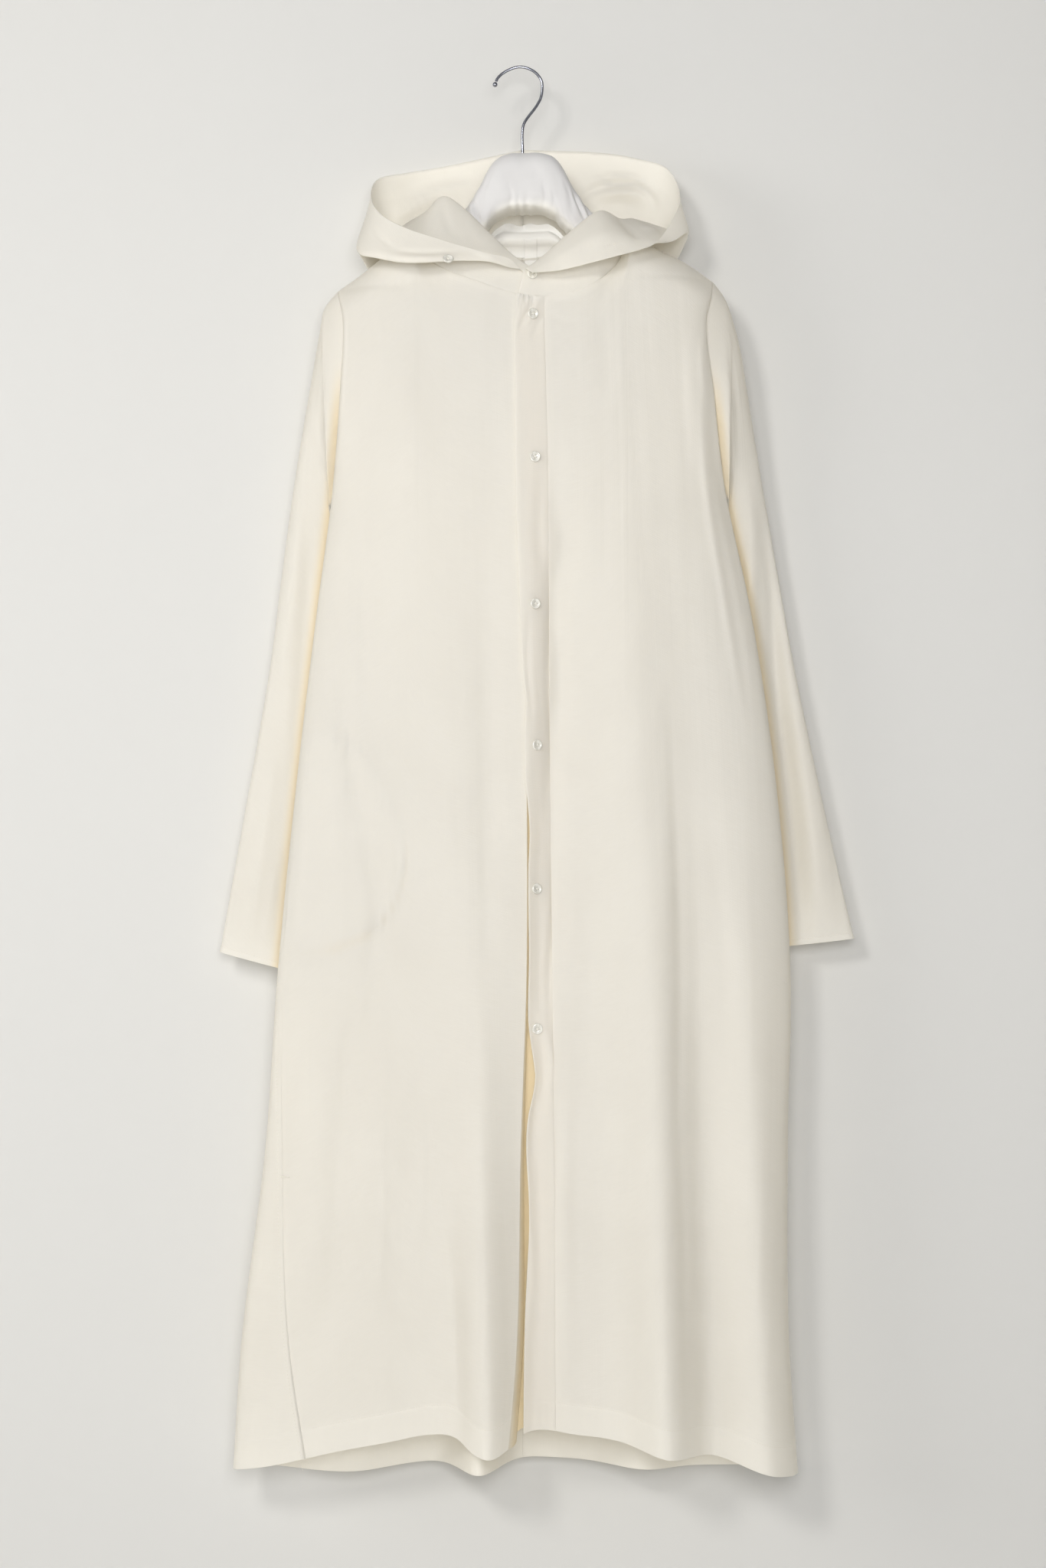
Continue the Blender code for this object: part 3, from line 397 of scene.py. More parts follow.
print("body form")
body = {
    "wall": 0.42,
    "roundness": 2.6,      # of the section: 2 is an ellipse, more is boxier
    "shoulderRound": 34,   # how far below its top edge a panel turns over the shoulder
    "armholeHalf": 22,     # half the armhole's width from front to back
    "edgeFade": 3.2,       # how soon folds and relief reach their height, away from the side edge
    "panelRows": 165,      # rows of a panel above its hem
    "rowPower": 1.6,       # they stand closer towards the shoulder
    "rowCrowding": 1.8,    # and so do the places round an armhole
    "armholeShare": 7 / 18,
    "hemDepth": 31,
    "hemStep": 0.45,       # how far the doubled hem stands out
    "hemStitch": 1.6,      # from the hem's upper edge down to its stitching
    "stitchDent": 0.35,    # how deep a row of stitching draws the cloth in
    "hemPucker": (0.1, 8.3, 46),   # height, spacing and how far up it reaches
    "seamDepth": 0.16,     # cloth dips into its seams
    "seamWidth": 1.2,
    "allowance": 8,
    # painted light: seam allowances and the pocket bag are painted lighter by these shares
    "allowanceLight": 0.8,   # how much lighter a seam allowance and the pocket bag look
    "bagLight": 0.6,
    "waves": (0.3, 0.6, -230, 260),   # at the shoulder, added below, from and over which height
    # z, left, right, front, back, side, seam, bandEdge, bandSeam, fold, foldDeep, underDeep
    "sections": np.array([
        (-180, -189, 198, -44, 30, 0, 1.00, -4, 24, -4, 4.0, 2.0),
        (-231, -189, 198, -44, 30, 0, 1.00, -4, 24, -4, 4.0, 2.0),
        (-262, -183, 191, -45, 30, 0, 1.00, -6, 24, -5, 4.0, 2.0),
        (-340, -186, 199, -45, 30, -1, 1.00, -5, 26, -3, 4.0, 2.0),
        (-435, -194, 211, -45, 30, -3, 1.00, -4, 28, 0, 4.0, 2.2),
        (-560, -210, 237, -45, 30, -6, 1.00, 0, 29, 4, 4.0, 3.0),
        (-720, -229, 261, -46, 30, -8, 1.00, 3, 30, 6, 4.5, 5.0),
        (-930, -250, 278, -47, 30, -9, 0.98, 7, 32, 6, 8.0, 7.5),
        (-1115, -263, 275, -50, 31, -10, 0.93, 7, 34, 0, 15.0, 9.0),
        (-1310, -287, 276, -54, 32, -12, 0.82, 4, 35, -4, 28.0, 11.0),
        (-1450, -296, 285, -57, 33, -16, 0.72, 3, 36, -16, 36.0, 12.0),
    ]),
    "names": ["z", "left", "right", "front", "back", "side", "seam", "bandEdge", "bandSeam", "fold",
              "foldDeep", "underDeep"],
    "foldFoot": -1430,     # height at which the standing folds come fully forward
    "foldGrowth": 1.4,
    # standing folds: xTop, zTop, xHem, forward, halfWidth
    "frontFolds": [(-46, -760, -33, 37, 27), (118, -380, 148, 41, 33), (165, -620, 193, -6, 18),
                   (214, -480, 252, 29, 34)],
    "backFolds": [(-52, -820, -42, 74, 26), (104, -620, 124, 30, 38), (-150, -700, -180, 20, 58)],
    "frontHem": [(-296, -1443), (-262, -1437), (-191, -1420), (-131, -1408), (-95, -1401), (-66, -1402),
                 (-48, -1414), (-30, -1418), (-14, -1412), (3, -1398), (60, -1401), (102, -1407),
                 (148, -1418), (193, -1422), (255, -1440), (285, -1446)],
    "backHem": [(-296, -1443), (-180, -1453), (-100, -1447), (-42, -1446), (10, -1443), (92, -1447),
                (150, -1450), (285, -1446)],
    "shoulderRight": [(-108, -177), (-143, -197), (-166, -215), (-189, -231)],
    "shoulderLeft": [(111, -172), (143, -189), (170, -202), (198, -221)],
    # pocket bag's outline, as it shows through the front: height and inner edge
    "pocket": [(-690, -221), (-693, -203), (-698, -178), (-712, -161), (-740, -142), (-772, -128),
               (-800, -119), (-825, -119), (-854, -126), (-874, -138), (-890, -152), (-900, -172),
               (-908, -205), (-913, -236)],
    "pocketStep": 1.0,     # how far the front stands out over it
    # width of that step, how much wider it is between which heights, and fading over
    "pocketEdge": (2.4, 12, -712, -830, 40),
    # its lower seam, which shows as a fine line
    "pocketSeam": [(-117, -790), (-116, -823), (-129, -861), (-146, -884), (-162, -896), (-198, -909),
                   (-246, -916)],
    # strength of a painted warm shade line just below that seam
    "pocketLine": 0.12,
    "frontCreases": [
        ([(-62, -420), (-70, -550), (-70, -721), (-77, -914), (-86, -1035), (-64, -1125), (-54, -1214),
          (-54, -1420)], 30, 3.2),
        ([(-156, -380), (-158, -560), (-156, -740)], 12, -3.0),
        ([(-132, -840), (-143, -895), (-155, -955), (-173, -1017), (-184, -1125), (-189, -1236),
          (-207, -1340)], 14, -3.8),
        ([(-192, -520), (-183, -641), (-170, -730), (-156, -805), (-144, -862), (-152, -915)], 10, -3.4),
        ([(-207, -640), (-196, -760), (-180, -860), (-190, -930)], 11, 1.8),
        ([(-184, -248), (-181, -300), (-186, -362)], 3.6, 1.5),
        ([(-174, -262), (-170, -330), (-176, -420)], 5, -1.0),
        ([(-146, -262), (-141, -284), (-144, -304)], 4, 0.9),
        ([(190, -262), (186, -300), (190, -350)], 4, 1.4),
        ([(196, -300), (200, -400), (220, -500), (238, -600)], 5, -2.4),
        ([(185, -290), (189, -420), (210, -560), (232, -690)], 5, 2.2),
        ([(-112, -880), (-104, -1040), (-118, -1200), (-128, -1400)], 14, -1.6),
        ([(-72, -1180), (-66, -1290), (-60, -1410)], 7, -3.4),
        ([(-122, -300), (-112, -430), (-108, -600), (-116, -760)], 22, 1.3),
        ([(-30, -320), (-34, -520), (-30, -760), (-36, -980)], 12, -1.4),
        ([(-210, -640), (-222, -780), (-232, -930)], 7, 1.2),
        ([(-160, -735), (-146, -752), (-128, -762)], 3, 1.5),
        ([(-150, -745), (-138, -762), (-120, -775)], 3, -1.5),
        ([(-166, -790), (-146, -812), (-122, -826)], 4, 1.4),
        ([(-130, -900), (-150, -930), (-166, -990), (-172, -1060)], 6, 1.4),
        ([(-96, -1060), (-92, -1160), (-99, -1260)], 5, -1.1),
        ([(-142, -1080), (-140, -1180), (-150, -1290)], 5, 1.2),
        ([(-236, -980), (-246, -1120), (-262, -1280), (-270, -1430)], 9, -1.6),
        ([(-216, -1000), (-230, -1160), (-240, -1300), (-246, -1440)], 13, 1.8),
        ([(121, -300), (115, -465), (107, -590), (104, -737), (98, -855), (101, -1035), (98, -1146),
          (106, -1260)], 25, 2.8),
        ([(178, -270), (176, -340), (184, -430)], 9, 1.8),
        ([(150, -640), (156, -760), (161, -900), (160, -1079), (163, -1169), (166, -1300),
          (170, -1440)], 6, -2.2),
        ([(228, -900), (236, -1050), (240, -1200), (244, -1400)], 18, 2.0),
        ([(204, -420), (216, -560), (232, -700)], 10, -1.5),
        ([(196, -760), (206, -900), (212, -1060)], 9, -1.4),
        ([(33, -415), (40, -466), (46, -492), (42, -516), (35, -550), (36, -583), (39, -620), (38, -658),
          (34, -690), (33, -740), (33, -820), (34, -940)], 14, -8.0),
        ([(44, -1000), (40, -1050), (38, -1110), (42, -1180)], 7, -1.6),
        ([(62, -560), (60, -760), (66, -960), (62, -1180)], 15, -1.5),
        ([(40, -1010), (42, -1130), (46, -1260), (44, -1400)], 8, 1.4),
        ([(80, -250), (88, -300), (86, -360)], 9, -0.7),
        ([(-96, -240), (-104, -300), (-100, -380)], 10, -0.8),
        ([(32, -243), (57, -239), (80, -229)], 3.2, 1.0),
        ([(34, -249), (58, -247), (84, -240)], 3.2, -0.7),
        ([(34, -240), (29, -247), (25, -256)], 1.6, 0.8),
        ([(30, -262), (48, -270), (70, -268)], 3, -0.5),
    ],
    "backCreases": [
        ([(-120, -260), (-110, -520), (-118, -900), (-130, -1440)], 26, 4.4),
        ([(-60, -300), (-66, -600), (-58, -1000)], 16, -3.2),
        ([(70, -280), (78, -560), (70, -900), (84, -1200)], 24, 3.8),
        ([(130, -300), (140, -620), (150, -980), (166, -1440)], 17, -4.0),
        ([(200, -560), (214, -820), (228, -1100), (236, -1430)], 16, 3.4),
        ([(-176, -420), (-190, -700), (-204, -980), (-226, -1420)], 17, -3.8),
        ([(16, -700), (24, -980), (14, -1430)], 14, -2.8),
        ([(-232, -800), (-250, -1100), (-268, -1430)], 10, 2.6),
        ([(30, -200), (70, -225), (120, -232)], 7, -1.0),
        ([(-30, -202), (-78, -228), (-126, -240)], 7, -1.0),
    ],
}


def section(name, z):
    return smooth(body["sections"][:, 0], body["sections"][:, body["names"].index(name)], z)


def standing(folds, x, z):
    total = np.zeros_like(x)
    for xTop, zTop, xHem, forward, halfWidth in folds:
        fall = np.clip((zTop - z) / (zTop - body["foldFoot"]), 0, 1)
        middle = xTop + (xHem - xTop) * fall
        total += forward * fall ** body["foldGrowth"] * np.exp(-((x - middle) / halfWidth) ** 2)
    return total


def sideTop(side):
    return (body["shoulderRight"] if side < 0 else body["shoulderLeft"])[-1][1]


def sideHem(side):
    return body["frontHem"][0 if side < 0 else -1][1]


def armhole(side, z):
    down = np.clip((sideTop(side) - z) / (sideTop(side) - sideHem(side)), 0, 1)
    share = np.clip(down ** (1 / body["rowCrowding"]) / body["armholeShare"], 0, 1)
    return body["armholeHalf"] * np.sin(math.pi * share)


def bodyLayer(x, z, front):
    left, right = section("left", z), section("right", z)
    middle, half = (left + right) / 2, (right - left) / 2
    off = np.clip(np.abs(x - middle) / half, 0, 1)
    bow = (1 - off ** body["roundness"]) ** (1 / body["roundness"])
    opening = np.where(x < middle, armhole(-1, z), armhole(1, z))
    side = section("side", z) + (-opening if front else opening)
    flat = section("front" if front else "back", z)
    fold = standing(body["frontFolds" if front else "backFolds"], x, z)
    return side + (flat - side) * bow - fold * np.minimum(1, body["edgeFade"] * bow), bow


# the hood's section round the neck: neckline seam, inner fold, outer fold and face edge
hood = {
    "wall": 0.42,
    "right": [
        ((12, -43, -242), (10, -43, -214), (7, -44, -217), (4, -44.5, -221)),
        ((-9, -44, -239), (-9, -41, -200), (-13, -53, -215), (-11, -55, -207)),
        ((-41, -43, -228), (-37, -36, -173), (-36, -60, -210), (-34, -61, -202)),
        ((-76, -40, -215), (-76, -25, -138), (-80, -67, -211), (-79, -63, -189)),
        ((-98, -22, -198), (-97, -15, -151), (-120, -65, -212), (-116, -58, -176)),
        ((-108, -1, -177), (-113, 1, -159), (-160, -44, -202), (-142, -46, -160)),
        ((-104, 12, -179), (-117, 17, -162), (-166, -8, -193), (-154, -14, -136)),
        ((-94, 22, -183), (-114, 33, -165), (-143, 39, -236), (-149, 18, -111)),
        ((-74, 28, -187), (-88, 39, -170), (-128, 52, -300), (-121, 35, -101)),
        ((-44, 31, -189), (-50, 42, -172), (-84, 59, -348), (-78, 43, -92)),
        ((2, 33, -190), (2, 44, -173), (2, 64, -378), (2, 50, -73.5)),
    ],
    "left": [
        ((-3, -47, -241), (4, -50, -217), (8, -56, -219), (12, -61, -222)),
        ((23, -46, -243), (24, -44, -202), (30, -56, -209), (36, -64, -221)),
        ((56, -45, -237), (52, -40, -176), (54, -58, -193), (57, -69, -217)),
        ((81, -41, -225), (80, -32, -155), (84, -55, -178), (89, -70, -209)),
        ((102, -21, -201), (101, -15, -159), (119, -50, -184), (123, -60, -198)),
        ((111, -1, -172), (114, 1, -155), (153, -36, -186), (142, -42, -184)),
        ((107, 12, -174), (119, 17, -157), (172, -6, -175), (164, -12, -140)),
        ((96, 22, -179), (116, 33, -163), (146, 39, -230), (154, 19, -101)),
        ((76, 28, -184), (90, 39, -168), (131, 52, -298), (122, 35, -86)),
        ((46, 31, -188), (54, 42, -171), (88, 59, -347), (82, 43, -78)),
        ((2, 33, -190), (2, 44, -173), (2, 64, -378), (2, 50, -73.5)),
    ],
    "corner": 5,            # table row at the shoulder
    "facing": 26,           # turned-in width along the face edge
    # painted light on the lapels: how much lighter they are painted, up to which share of the columns, and
    # fading over
    "paintedLapelLight": (0.9, 0.5, 0.12),
    "allowance": ((5, 1.3), (1.5, 0.8)),   # below the neckline and behind it
    "waves": (0.45, 70, 260),    # height, across and down
    "columns": 170,
    "steps": 150,
    # path of (x, z), half width, height, from and to which share of the section
    "creases": {
        "right": [
            ([(-150, -198), (-125, -207), (-100, -209), (-70, -208), (-52, -207)], 4.5, 1.7, (0.6, 1)),
            ([(-130, -200), (-100, -203), (-76, -202), (-58, -200)], 3, -1.3, (0.6, 1)),
            ([(-150, -172), (-142, -186), (-130, -196)], 3, -1.0, (0.7, 1)),
            ([(-48, -200), (-36, -204), (-20, -211)], 3, 1.0, (0.6, 1)),
            ([(-82, -144), (-76, -166), (-64, -188)], 6, 1.4, (0.2, 0.62)),
            ([(-60, -150), (-48, -170), (-34, -190)], 8, -1.0, (0.2, 0.62)),
            ([(-134, -150), (-106, -130), (-82, -119), (-46, -114)], 7, -4.6, (0.7, 1)),
            ([(-124, -139), (-101, -127), (-76, -118), (-46, -116)], 1.8, 2.4, (0.7, 1)),
            ([(-136, -122), (-104, -108), (-70, -102), (-50, -101)], 9, 2.4, (0.7, 1)),
            ([(-128, -158), (-112, -148), (-92, -140)], 5, 2.0, (0.7, 1)),
        ],
        "left": [
            ([(66, -113), (86, -107), (104, -105), (120, -108), (134, -117), (143, -130)],
             3.6, -4.6, (0.7, 1)),
            ([(62, -130), (72, -118), (88, -112), (106, -110), (124, -114), (138, -127), (142, -140)],
             4, 5.4, (0.7, 1)),
            ([(80, -123), (104, -120), (132, -124)], 5, -6.0, (0.7, 1)),
            ([(78, -136), (104, -134), (130, -141)], 6, 2.0, (0.7, 1)),
            ([(98, -156), (110, -172), (122, -187)], 6, 2.8, (0.4, 1)),
            ([(60, -190), (84, -184), (104, -186)], 10, -1.2, (0.4, 1)),
            ([(60, -206), (84, -199), (110, -193)], 8, 0.6, (0.5, 1)),
            ([(122, -168), (134, -170), (146, -168)], 4.5, -2.6, (0.5, 1)),
        ],
    },
}


def hoodGrid(rows):
    steps = hood["steps"]
    table = np.array(rows, float)
    stops = smooth(range(len(rows)), table, np.linspace(0, len(rows) - 1, hood["columns"]))
    lines = []
    for stop in stops:
        keys = np.concatenate([[0], np.cumsum(np.sqrt(np.linalg.norm(np.diff(stop, axis=0), axis=1)))])
        lines.append(smooth(keys, stop, np.linspace(0, keys[-1], steps)))
    return np.array(lines).swapaxes(0, 1)


# neckline and shoulder seams, from one shoulder tip to the other
def topLine(front):
    points = []
    halves = ((-1, hood["right"], body["shoulderRight"]), (1, hood["left"], body["shoulderLeft"]))
    for side, rows, shoulder in halves:
        neck = np.array([row[0] for row in rows], float)
        last = len(neck) - 1
        span = (0, hood["corner"]) if front else (last, hood["corner"])
        points += [tuple(p) for p in smooth(range(last + 1), neck, np.linspace(*span, 60))]
        outs = np.array([abs(x) for x, _ in shoulder], float)
        heights = [height for _, height in shoulder]
        at = np.linspace(outs[0] + 0.5, outs[-1], 30)
        points += [(side * out, 0, up) for out, up in zip(at, smooth(outs, heights, at))]
    return np.array(sorted(points))


tops = {front: topLine(front) for front in (True, False)}


def top(x, front):
    line = tops[front]
    return np.interp(x, line[:, 0], line[:, 1]), np.interp(x, line[:, 0], line[:, 2])


def hem(x, front):
    xs, heights = zip(*body["frontHem" if front else "backHem"])
    return smooth(xs, heights, x)


# small relief on a body layer: creases, slow waves, the pocket bag's outline and the hem
def relief(x, z, front):
    height = creaseHeight(x, z, body["frontCreases" if front else "backCreases"])
    least, more, start, over = body["waves"]
    down = ease((start - z) / over)
    height += softWaves(x, z, 1.3 if front else 4.1) * (least + more * down)
    up = z - hem(x, front)
    height += body["hemStep"] * ease((body["hemDepth"] - up) / 1.2)
    height -= groove(up - body["hemDepth"] + body["hemStitch"], body["stitchDent"], 0.9)
    pucker, spacing, reach = body["hemPucker"]
    puckers = pucker * np.sin(2 * math.pi * (x / spacing + 0.2 * np.sin(x / 17)))
    height += puckers * ease(1 - up / reach) * ease(up / 12)
    if front:
        levels, inner = zip(*body["pocket"])
        edge = smooth(levels, inner, z)
        crisp, softer, upper, lower, over = body["pocketEdge"]
        blur = crisp + softer * ease((upper - z) / over) * ease((z - lower) / over)
        inside = ease((edge - x) / blur + 0.5)
        inside = inside * ease((z - levels[-1]) / crisp) * ease((levels[0] - z) / crisp)
        bag = section("left", z) + 4 < x
        height += body["pocketStep"] * inside * bag
        sharp = crisp / blur * bag * ease((z - levels[-1]) / 3 + 1) * ease((levels[0] - z) / 3 + 1)
        height += (groove(edge - x - 0.5, 1.1, 1.7) - groove(x - edge - 2.6, 1.0, 2.2)) * sharp
        seam = body["pocketSeam"]
        height += creaseHeight(x, z, [(seam, 1.7, 1.5)]) - creaseHeight(x, z - 3.2, [(seam, 1.8, 1.6)])
    return height


# a place on the body's outer face, turned over the shoulder near its top edge
def bodyPoint(x, z, front, lift=0):
    x, z = np.asarray(x, float), np.asarray(z, float)
    yTop, zTop = top(x, front)
    away = np.clip((zTop - z) / body["shoulderRound"], 0, 1)
    turn = np.sqrt(1 - (1 - away) ** 2)
    depth, bow = bodyLayer(x, z, front)
    raised = relief(x, z, front) * turn * np.minimum(1, body["edgeFade"] * bow)
    y = yTop + (depth - yTop) * turn + (-raised if front else raised) + lift
    return np.stack([x, y, z], axis=-1)


# rows of a panel, as a share of the length above the hem's band and as millimetres above the hem
hemRows = (46, 42, 38, 35, 33, 31.8, 30.8, 30, 29.4, 28.7, 27.8, 26, 22, 17, 12, 8, 5, 2.5, 1, 0.4, 0)
panelRows = [(1 - (r / body["panelRows"]) ** body["rowPower"], hemRows[0]) for r in range(body["panelRows"])]
panelRows += [(0, up) for up in hemRows]
rowShare = np.array([row[0] for row in panelRows])[:, None]
rowUp = np.array([row[1] for row in panelRows], float)[:, None]


def panelGrid(front, place, shares, lift=None):
    z = np.full((len(panelRows), len(shares)), -231.0)
    # a row's height follows the hem and the top above and below its place, which depends on the height
    for _ in range(6):
        x, turned = place(shares[None, :] + 0 * z, z)
        facingFront = front | turned
        low = np.where(facingFront, hem(x, True), hem(x, False))
        z = low + rowUp + (top(x, front)[1] - low - rowUp) * rowShare
    x, turned = place(shares[None, :] + 0 * z, z)
    facingFront = front | turned
    points = np.where(facingFront[..., None], bodyPoint(x, z, True), bodyPoint(x, z, False))
    if lift is not None:
        points[..., 1] += lift(shares[None, :] + 0 * z, z)
    return points


def between(inner, outer):
    return lambda share, z: (inner(z) + (outer(z) - inner(z)) * share, np.zeros(z.shape, bool))


def seamX(z):
    left, right = section("left", z), section("right", z)
    return np.maximum((left + right) / 2 - (right - left) / 2 * section("seam", z), left + 0.9)


# draws a grid's edges in a little, as cloth dips into its seam
def tuckEdges(points, edges, flip=False, depth=None):
    depth = depth or body["seamDepth"]
    out = facing(points, flip)
    drop = np.zeros(points.shape[:2])
    for name in edges:
        if name in ("inner", "outer"):
            line = points[:, :1] if name == "inner" else points[:, -1:]
        else:
            line = points[:1] if name == "top" else points[-1:]
        away = np.linalg.norm(points - line, axis=2)
        drop += groove(away, depth, body["seamWidth"])
    return points - out * np.minimum(drop, depth)[..., None]


# where a body panel is two layers thick: hem, seam allowances and the pocket bag; there the cloth is painted
# lighter, as painted light
def layersOf(points, front):
    x, z = points[..., 0], points[..., 2]
    double = ease((body["hemDepth"] - (z - hem(x, front))) / 1.5)
    for line in (points[:1], points[:, :1], points[:, -1:]):
        away = np.linalg.norm(points - line, axis=2)
        double = np.maximum(double, body["allowanceLight"] * ease((body["allowance"] - away) / 1.5))
    if front:
        levels, inner = zip(*body["pocket"])
        bag = ease((smooth(levels, inner, z) - x) / 2)
        bag = bag * ease((z - levels[-1]) / 2) * ease((levels[0] - z) / 2)
        double = np.maximum(double, body["bagLight"] * bag)
    return double


def clothPiece(name, nodes, points, wall, flip=False, closed=False, paintedLight=0, paintedGlow=0, mat=ivoryCloth):
    piece = layCloth(name, points, mat, wall, flip, closed, paintedLight, paintedGlow)
    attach(piece, "root")
    if nodes:
        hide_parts(*nodes)
    return piece


print("fronts and bands")
fronts = {
    # section of the right front's rolled edge, across and back, as shares of foldDeep
    "roll": [(0.0, 0.0), (0.03, 0.07), (0.1, 0.2), (0.15, 0.36), (0.2, 0.62), (0.24, 1.0)],
    "rollSteps": 9,
    "panel": (236, 2.7),    # usual width of a front and its column step
    "band": (30, 1.3),
    "under": (-900, 60, 3, 0.54, 6.5),   # the side edge under the strip: from, over, along, down, fading over
    # painted glow: the shaded hollow between roll and band, and the underlap seen in it, are painted warm for
    # inter-reflected light
    "rollPaintedGlow": 0.8,       # how warm the hollow between roll and band looks
    "bandPaintedGlow": 0.85,
    "rollInto": 0.24,      # how far the underlap starts inside the rolled edge, as a share of its depth
    "bandLift": 3,         # how far the over band's free edge stands off
    "bandWall": 0.9,
    # how far the over band's free edge strays from its line at each height
    "edgeWander": [(-231, 0), (-600, 0), (-633, 1.5), (-658, 3.6), (-683, 1.6), (-733, 1.4),
                   (-757, 3.3), (-787, 5), (-830, 2.6), (-916, 1.8), (-982, 0.7), (-1003, 3),
                   (-1024, 6.2), (-1038, 7.7), (-1056, 5.4), (-1073, 1.5), (-1092, -0.8), (-1120, -0.8),
                   (-1159, 1.9), (-1194, 2.8), (-1229, 1.8), (-1280, 0.4), (-1450, 0)],
    # ripples of the band alone
    "bandCreases": [
        ([(15, -246), (6, -261), (-3, -279)], 2.4, -1.6),
        ([(21, -244), (12, -259), (5, -274)], 2.6, 1.1),
        ([(24, -262), (16, -276), (10, -290)], 3, -0.7),
        ([(14, -700), (16, -850), (18, -1000), (16, -1200), (14, -1390)], 8, -2.2),
        ([(12, -960), (26, -1000), (38, -1036)], 5, 2.0),
        ([(34, -1090), (40, -1130), (36, -1172)], 5, 1.6),
        ([(8, -1040), (12, -1084), (9, -1130)], 5, -1.4),
        ([(22, -420), (19, -480), (23, -545)], 6, -1.2),
        ([(27, -500), (31, -560), (27, -640), (31, -700), (26, -760)], 5, -2.2),
        ([(8, -560), (6, -620), (10, -690)], 4, -1.0),
        ([(30, -800), (34, -870), (29, -940), (35, -1010)], 5, -2.0),
        ([(5, -1180), (12, -1240), (8, -1300)], 6, 1.4),
        ([(20, -600), (18, -650), (21, -690)], 5, -0.9),
    ],
}
bandShares = spread(*fronts["band"])
leftGrid = panelGrid(True, between(lambda z: section("bandSeam", z), lambda z: section("right", z)),
                     spread(*fronts["panel"], foldSteps))
leftGrid = tuckEdges(leftGrid, ("inner", "outer", "top"))
clothPiece("leftFront", ["front_left"], leftGrid, body["wall"], paintedLight=layersOf(leftGrid, True))


# below the pocket the front's side edge goes a little way under the side seam's strip
def underStrip(z):
    start, over = fronts["under"][:2]
    return ease((start - z) / over)


along, lower, fading = fronts["under"][2:]
rightGrid = panelGrid(True, between(lambda z: section("fold", z), lambda z: seamX(z) - along * underStrip(z)),
                      spread(*fronts["panel"], foldSteps))
beside = np.linalg.norm(rightGrid - rightGrid[:, -1:], axis=2)
rightGrid[..., 1] += lower * underStrip(rightGrid[:, -1:, 2]) * ease(1 - beside / fading)
deep = section("foldDeep", rightGrid[:, 0, 2])[:, None]
rollKeys = np.linspace(0, 1, len(fronts["roll"]))
roll = smooth(rollKeys, fronts["roll"], np.linspace(1, 0, fronts["rollSteps"] + 1)[:-1])
rolled = np.repeat(rightGrid[:, :1], fronts["rollSteps"], axis=1)
rolled[..., 0] += deep * roll[None, :, 0]
rolled[..., 1] += deep * roll[None, :, 1]
rightFull = np.concatenate([rolled, rightGrid], axis=1)
rightFull = tuckEdges(rightFull, ("outer", "top"), flip=True)
# painted glow in the roll's hollow, and a painted warm shade line just below the pocket seam
inRoll = ease(1 - (np.arange(rightFull.shape[1])[None, :] - 2) / fronts["rollSteps"])
inGap = fronts["rollPaintedGlow"] * inRoll * ease((-620 - rightFull[..., 2]) / 200)
paintedSeamShade = creaseHeight(rightFull[..., 0], rightFull[..., 2] + 1.6,
                      [(body["pocketSeam"], 1.5, body["pocketLine"])])
clothPiece("rightFront", ["front_right"], rightFull, body["wall"], flip=True,
           paintedLight=layersOf(rightFull, True), paintedGlow=np.maximum(inGap, paintedSeamShade))


def bandEdge(z):
    heights, away = zip(*fronts["edgeWander"])
    return section("bandEdge", z) + smooth(heights, away, z)


def bandLift(share, z):
    x = section("bandEdge", z) + (section("bandSeam", z) - section("bandEdge", z)) * share
    return -fronts["bandLift"] * (1 - share) - creaseHeight(x, z, fronts["bandCreases"]) * ease(share * 6)


overGrid = panelGrid(True, between(bandEdge, lambda z: section("bandSeam", z)), bandShares, bandLift)
# the over band is painted lighter, as painted light
clothPiece("leftBand", ["band_left"], tuckEdges(overGrid, ("outer", "top")), fronts["bandWall"], paintedLight=1)


def underLift(share, z):
    away = section("foldDeep", z) - section("underDeep", z)
    return section("underDeep", z) + away * (1 - share) ** 2


def underStart(z):
    return section("fold", z) + fronts["rollInto"] * section("foldDeep", z)


underGrid = panelGrid(True, between(underStart, lambda z: section("bandSeam", z) + 1), bandShares, underLift)
# the underlap band is painted warm: painted glow for inter-reflected light in the gap's shade
clothPiece("rightBand", ["band_right"], underGrid, fronts["bandWall"], paintedGlow=fronts["bandPaintedGlow"])

print("backs")
backs = {
    "panel": (260, 3.0),
    "centre": 2,
    "wrapColumns": 26,
    "stripWidth": 8,       # the side seam's allowance, which shows as a raised strip
    "stripTop": -920,
    "stripStep": 0.05,
}
backShares = spread(*backs["panel"], foldSteps)
backLeft = panelGrid(False, between(lambda z: backs["centre"] + 0 * z, lambda z: section("right", z)),
                     backShares)
clothPiece("leftBack", ["back_left"], tuckEdges(backLeft, ("inner", "outer", "top"), flip=True), body["wall"],
           flip=True, paintedLight=layersOf(backLeft, False))

wrapShares = np.concatenate([backShares, 1 + np.linspace(0, 1, backs["wrapColumns"])[1:] ** 1.25])


def wrapped(share, z):
    left = section("left", z)
    across = backs["centre"] + (left - backs["centre"]) * share
    turned = share > 1
    return np.where(turned, left + (seamX(z) - left) * (share - 1), across), turned


backRight = panelGrid(False, wrapped, wrapShares)
end = backRight[:, -1:, 0]
onStrip = (wrapShares[None, :] > 1) & (end - backRight[..., 0] < backs["stripWidth"] + 2)
raised = ease((backs["stripWidth"] - (end - backRight[..., 0])) / 1.4) * onStrip
raised = raised * ease((backs["stripTop"] - backRight[..., 2]) / 30)
backRight[..., 1] -= raised * backs["stripStep"]
clothPiece("rightBack", ["back_right"], tuckEdges(backRight, ("inner", "outer", "top")), body["wall"],
           paintedLight=layersOf(backRight, False))

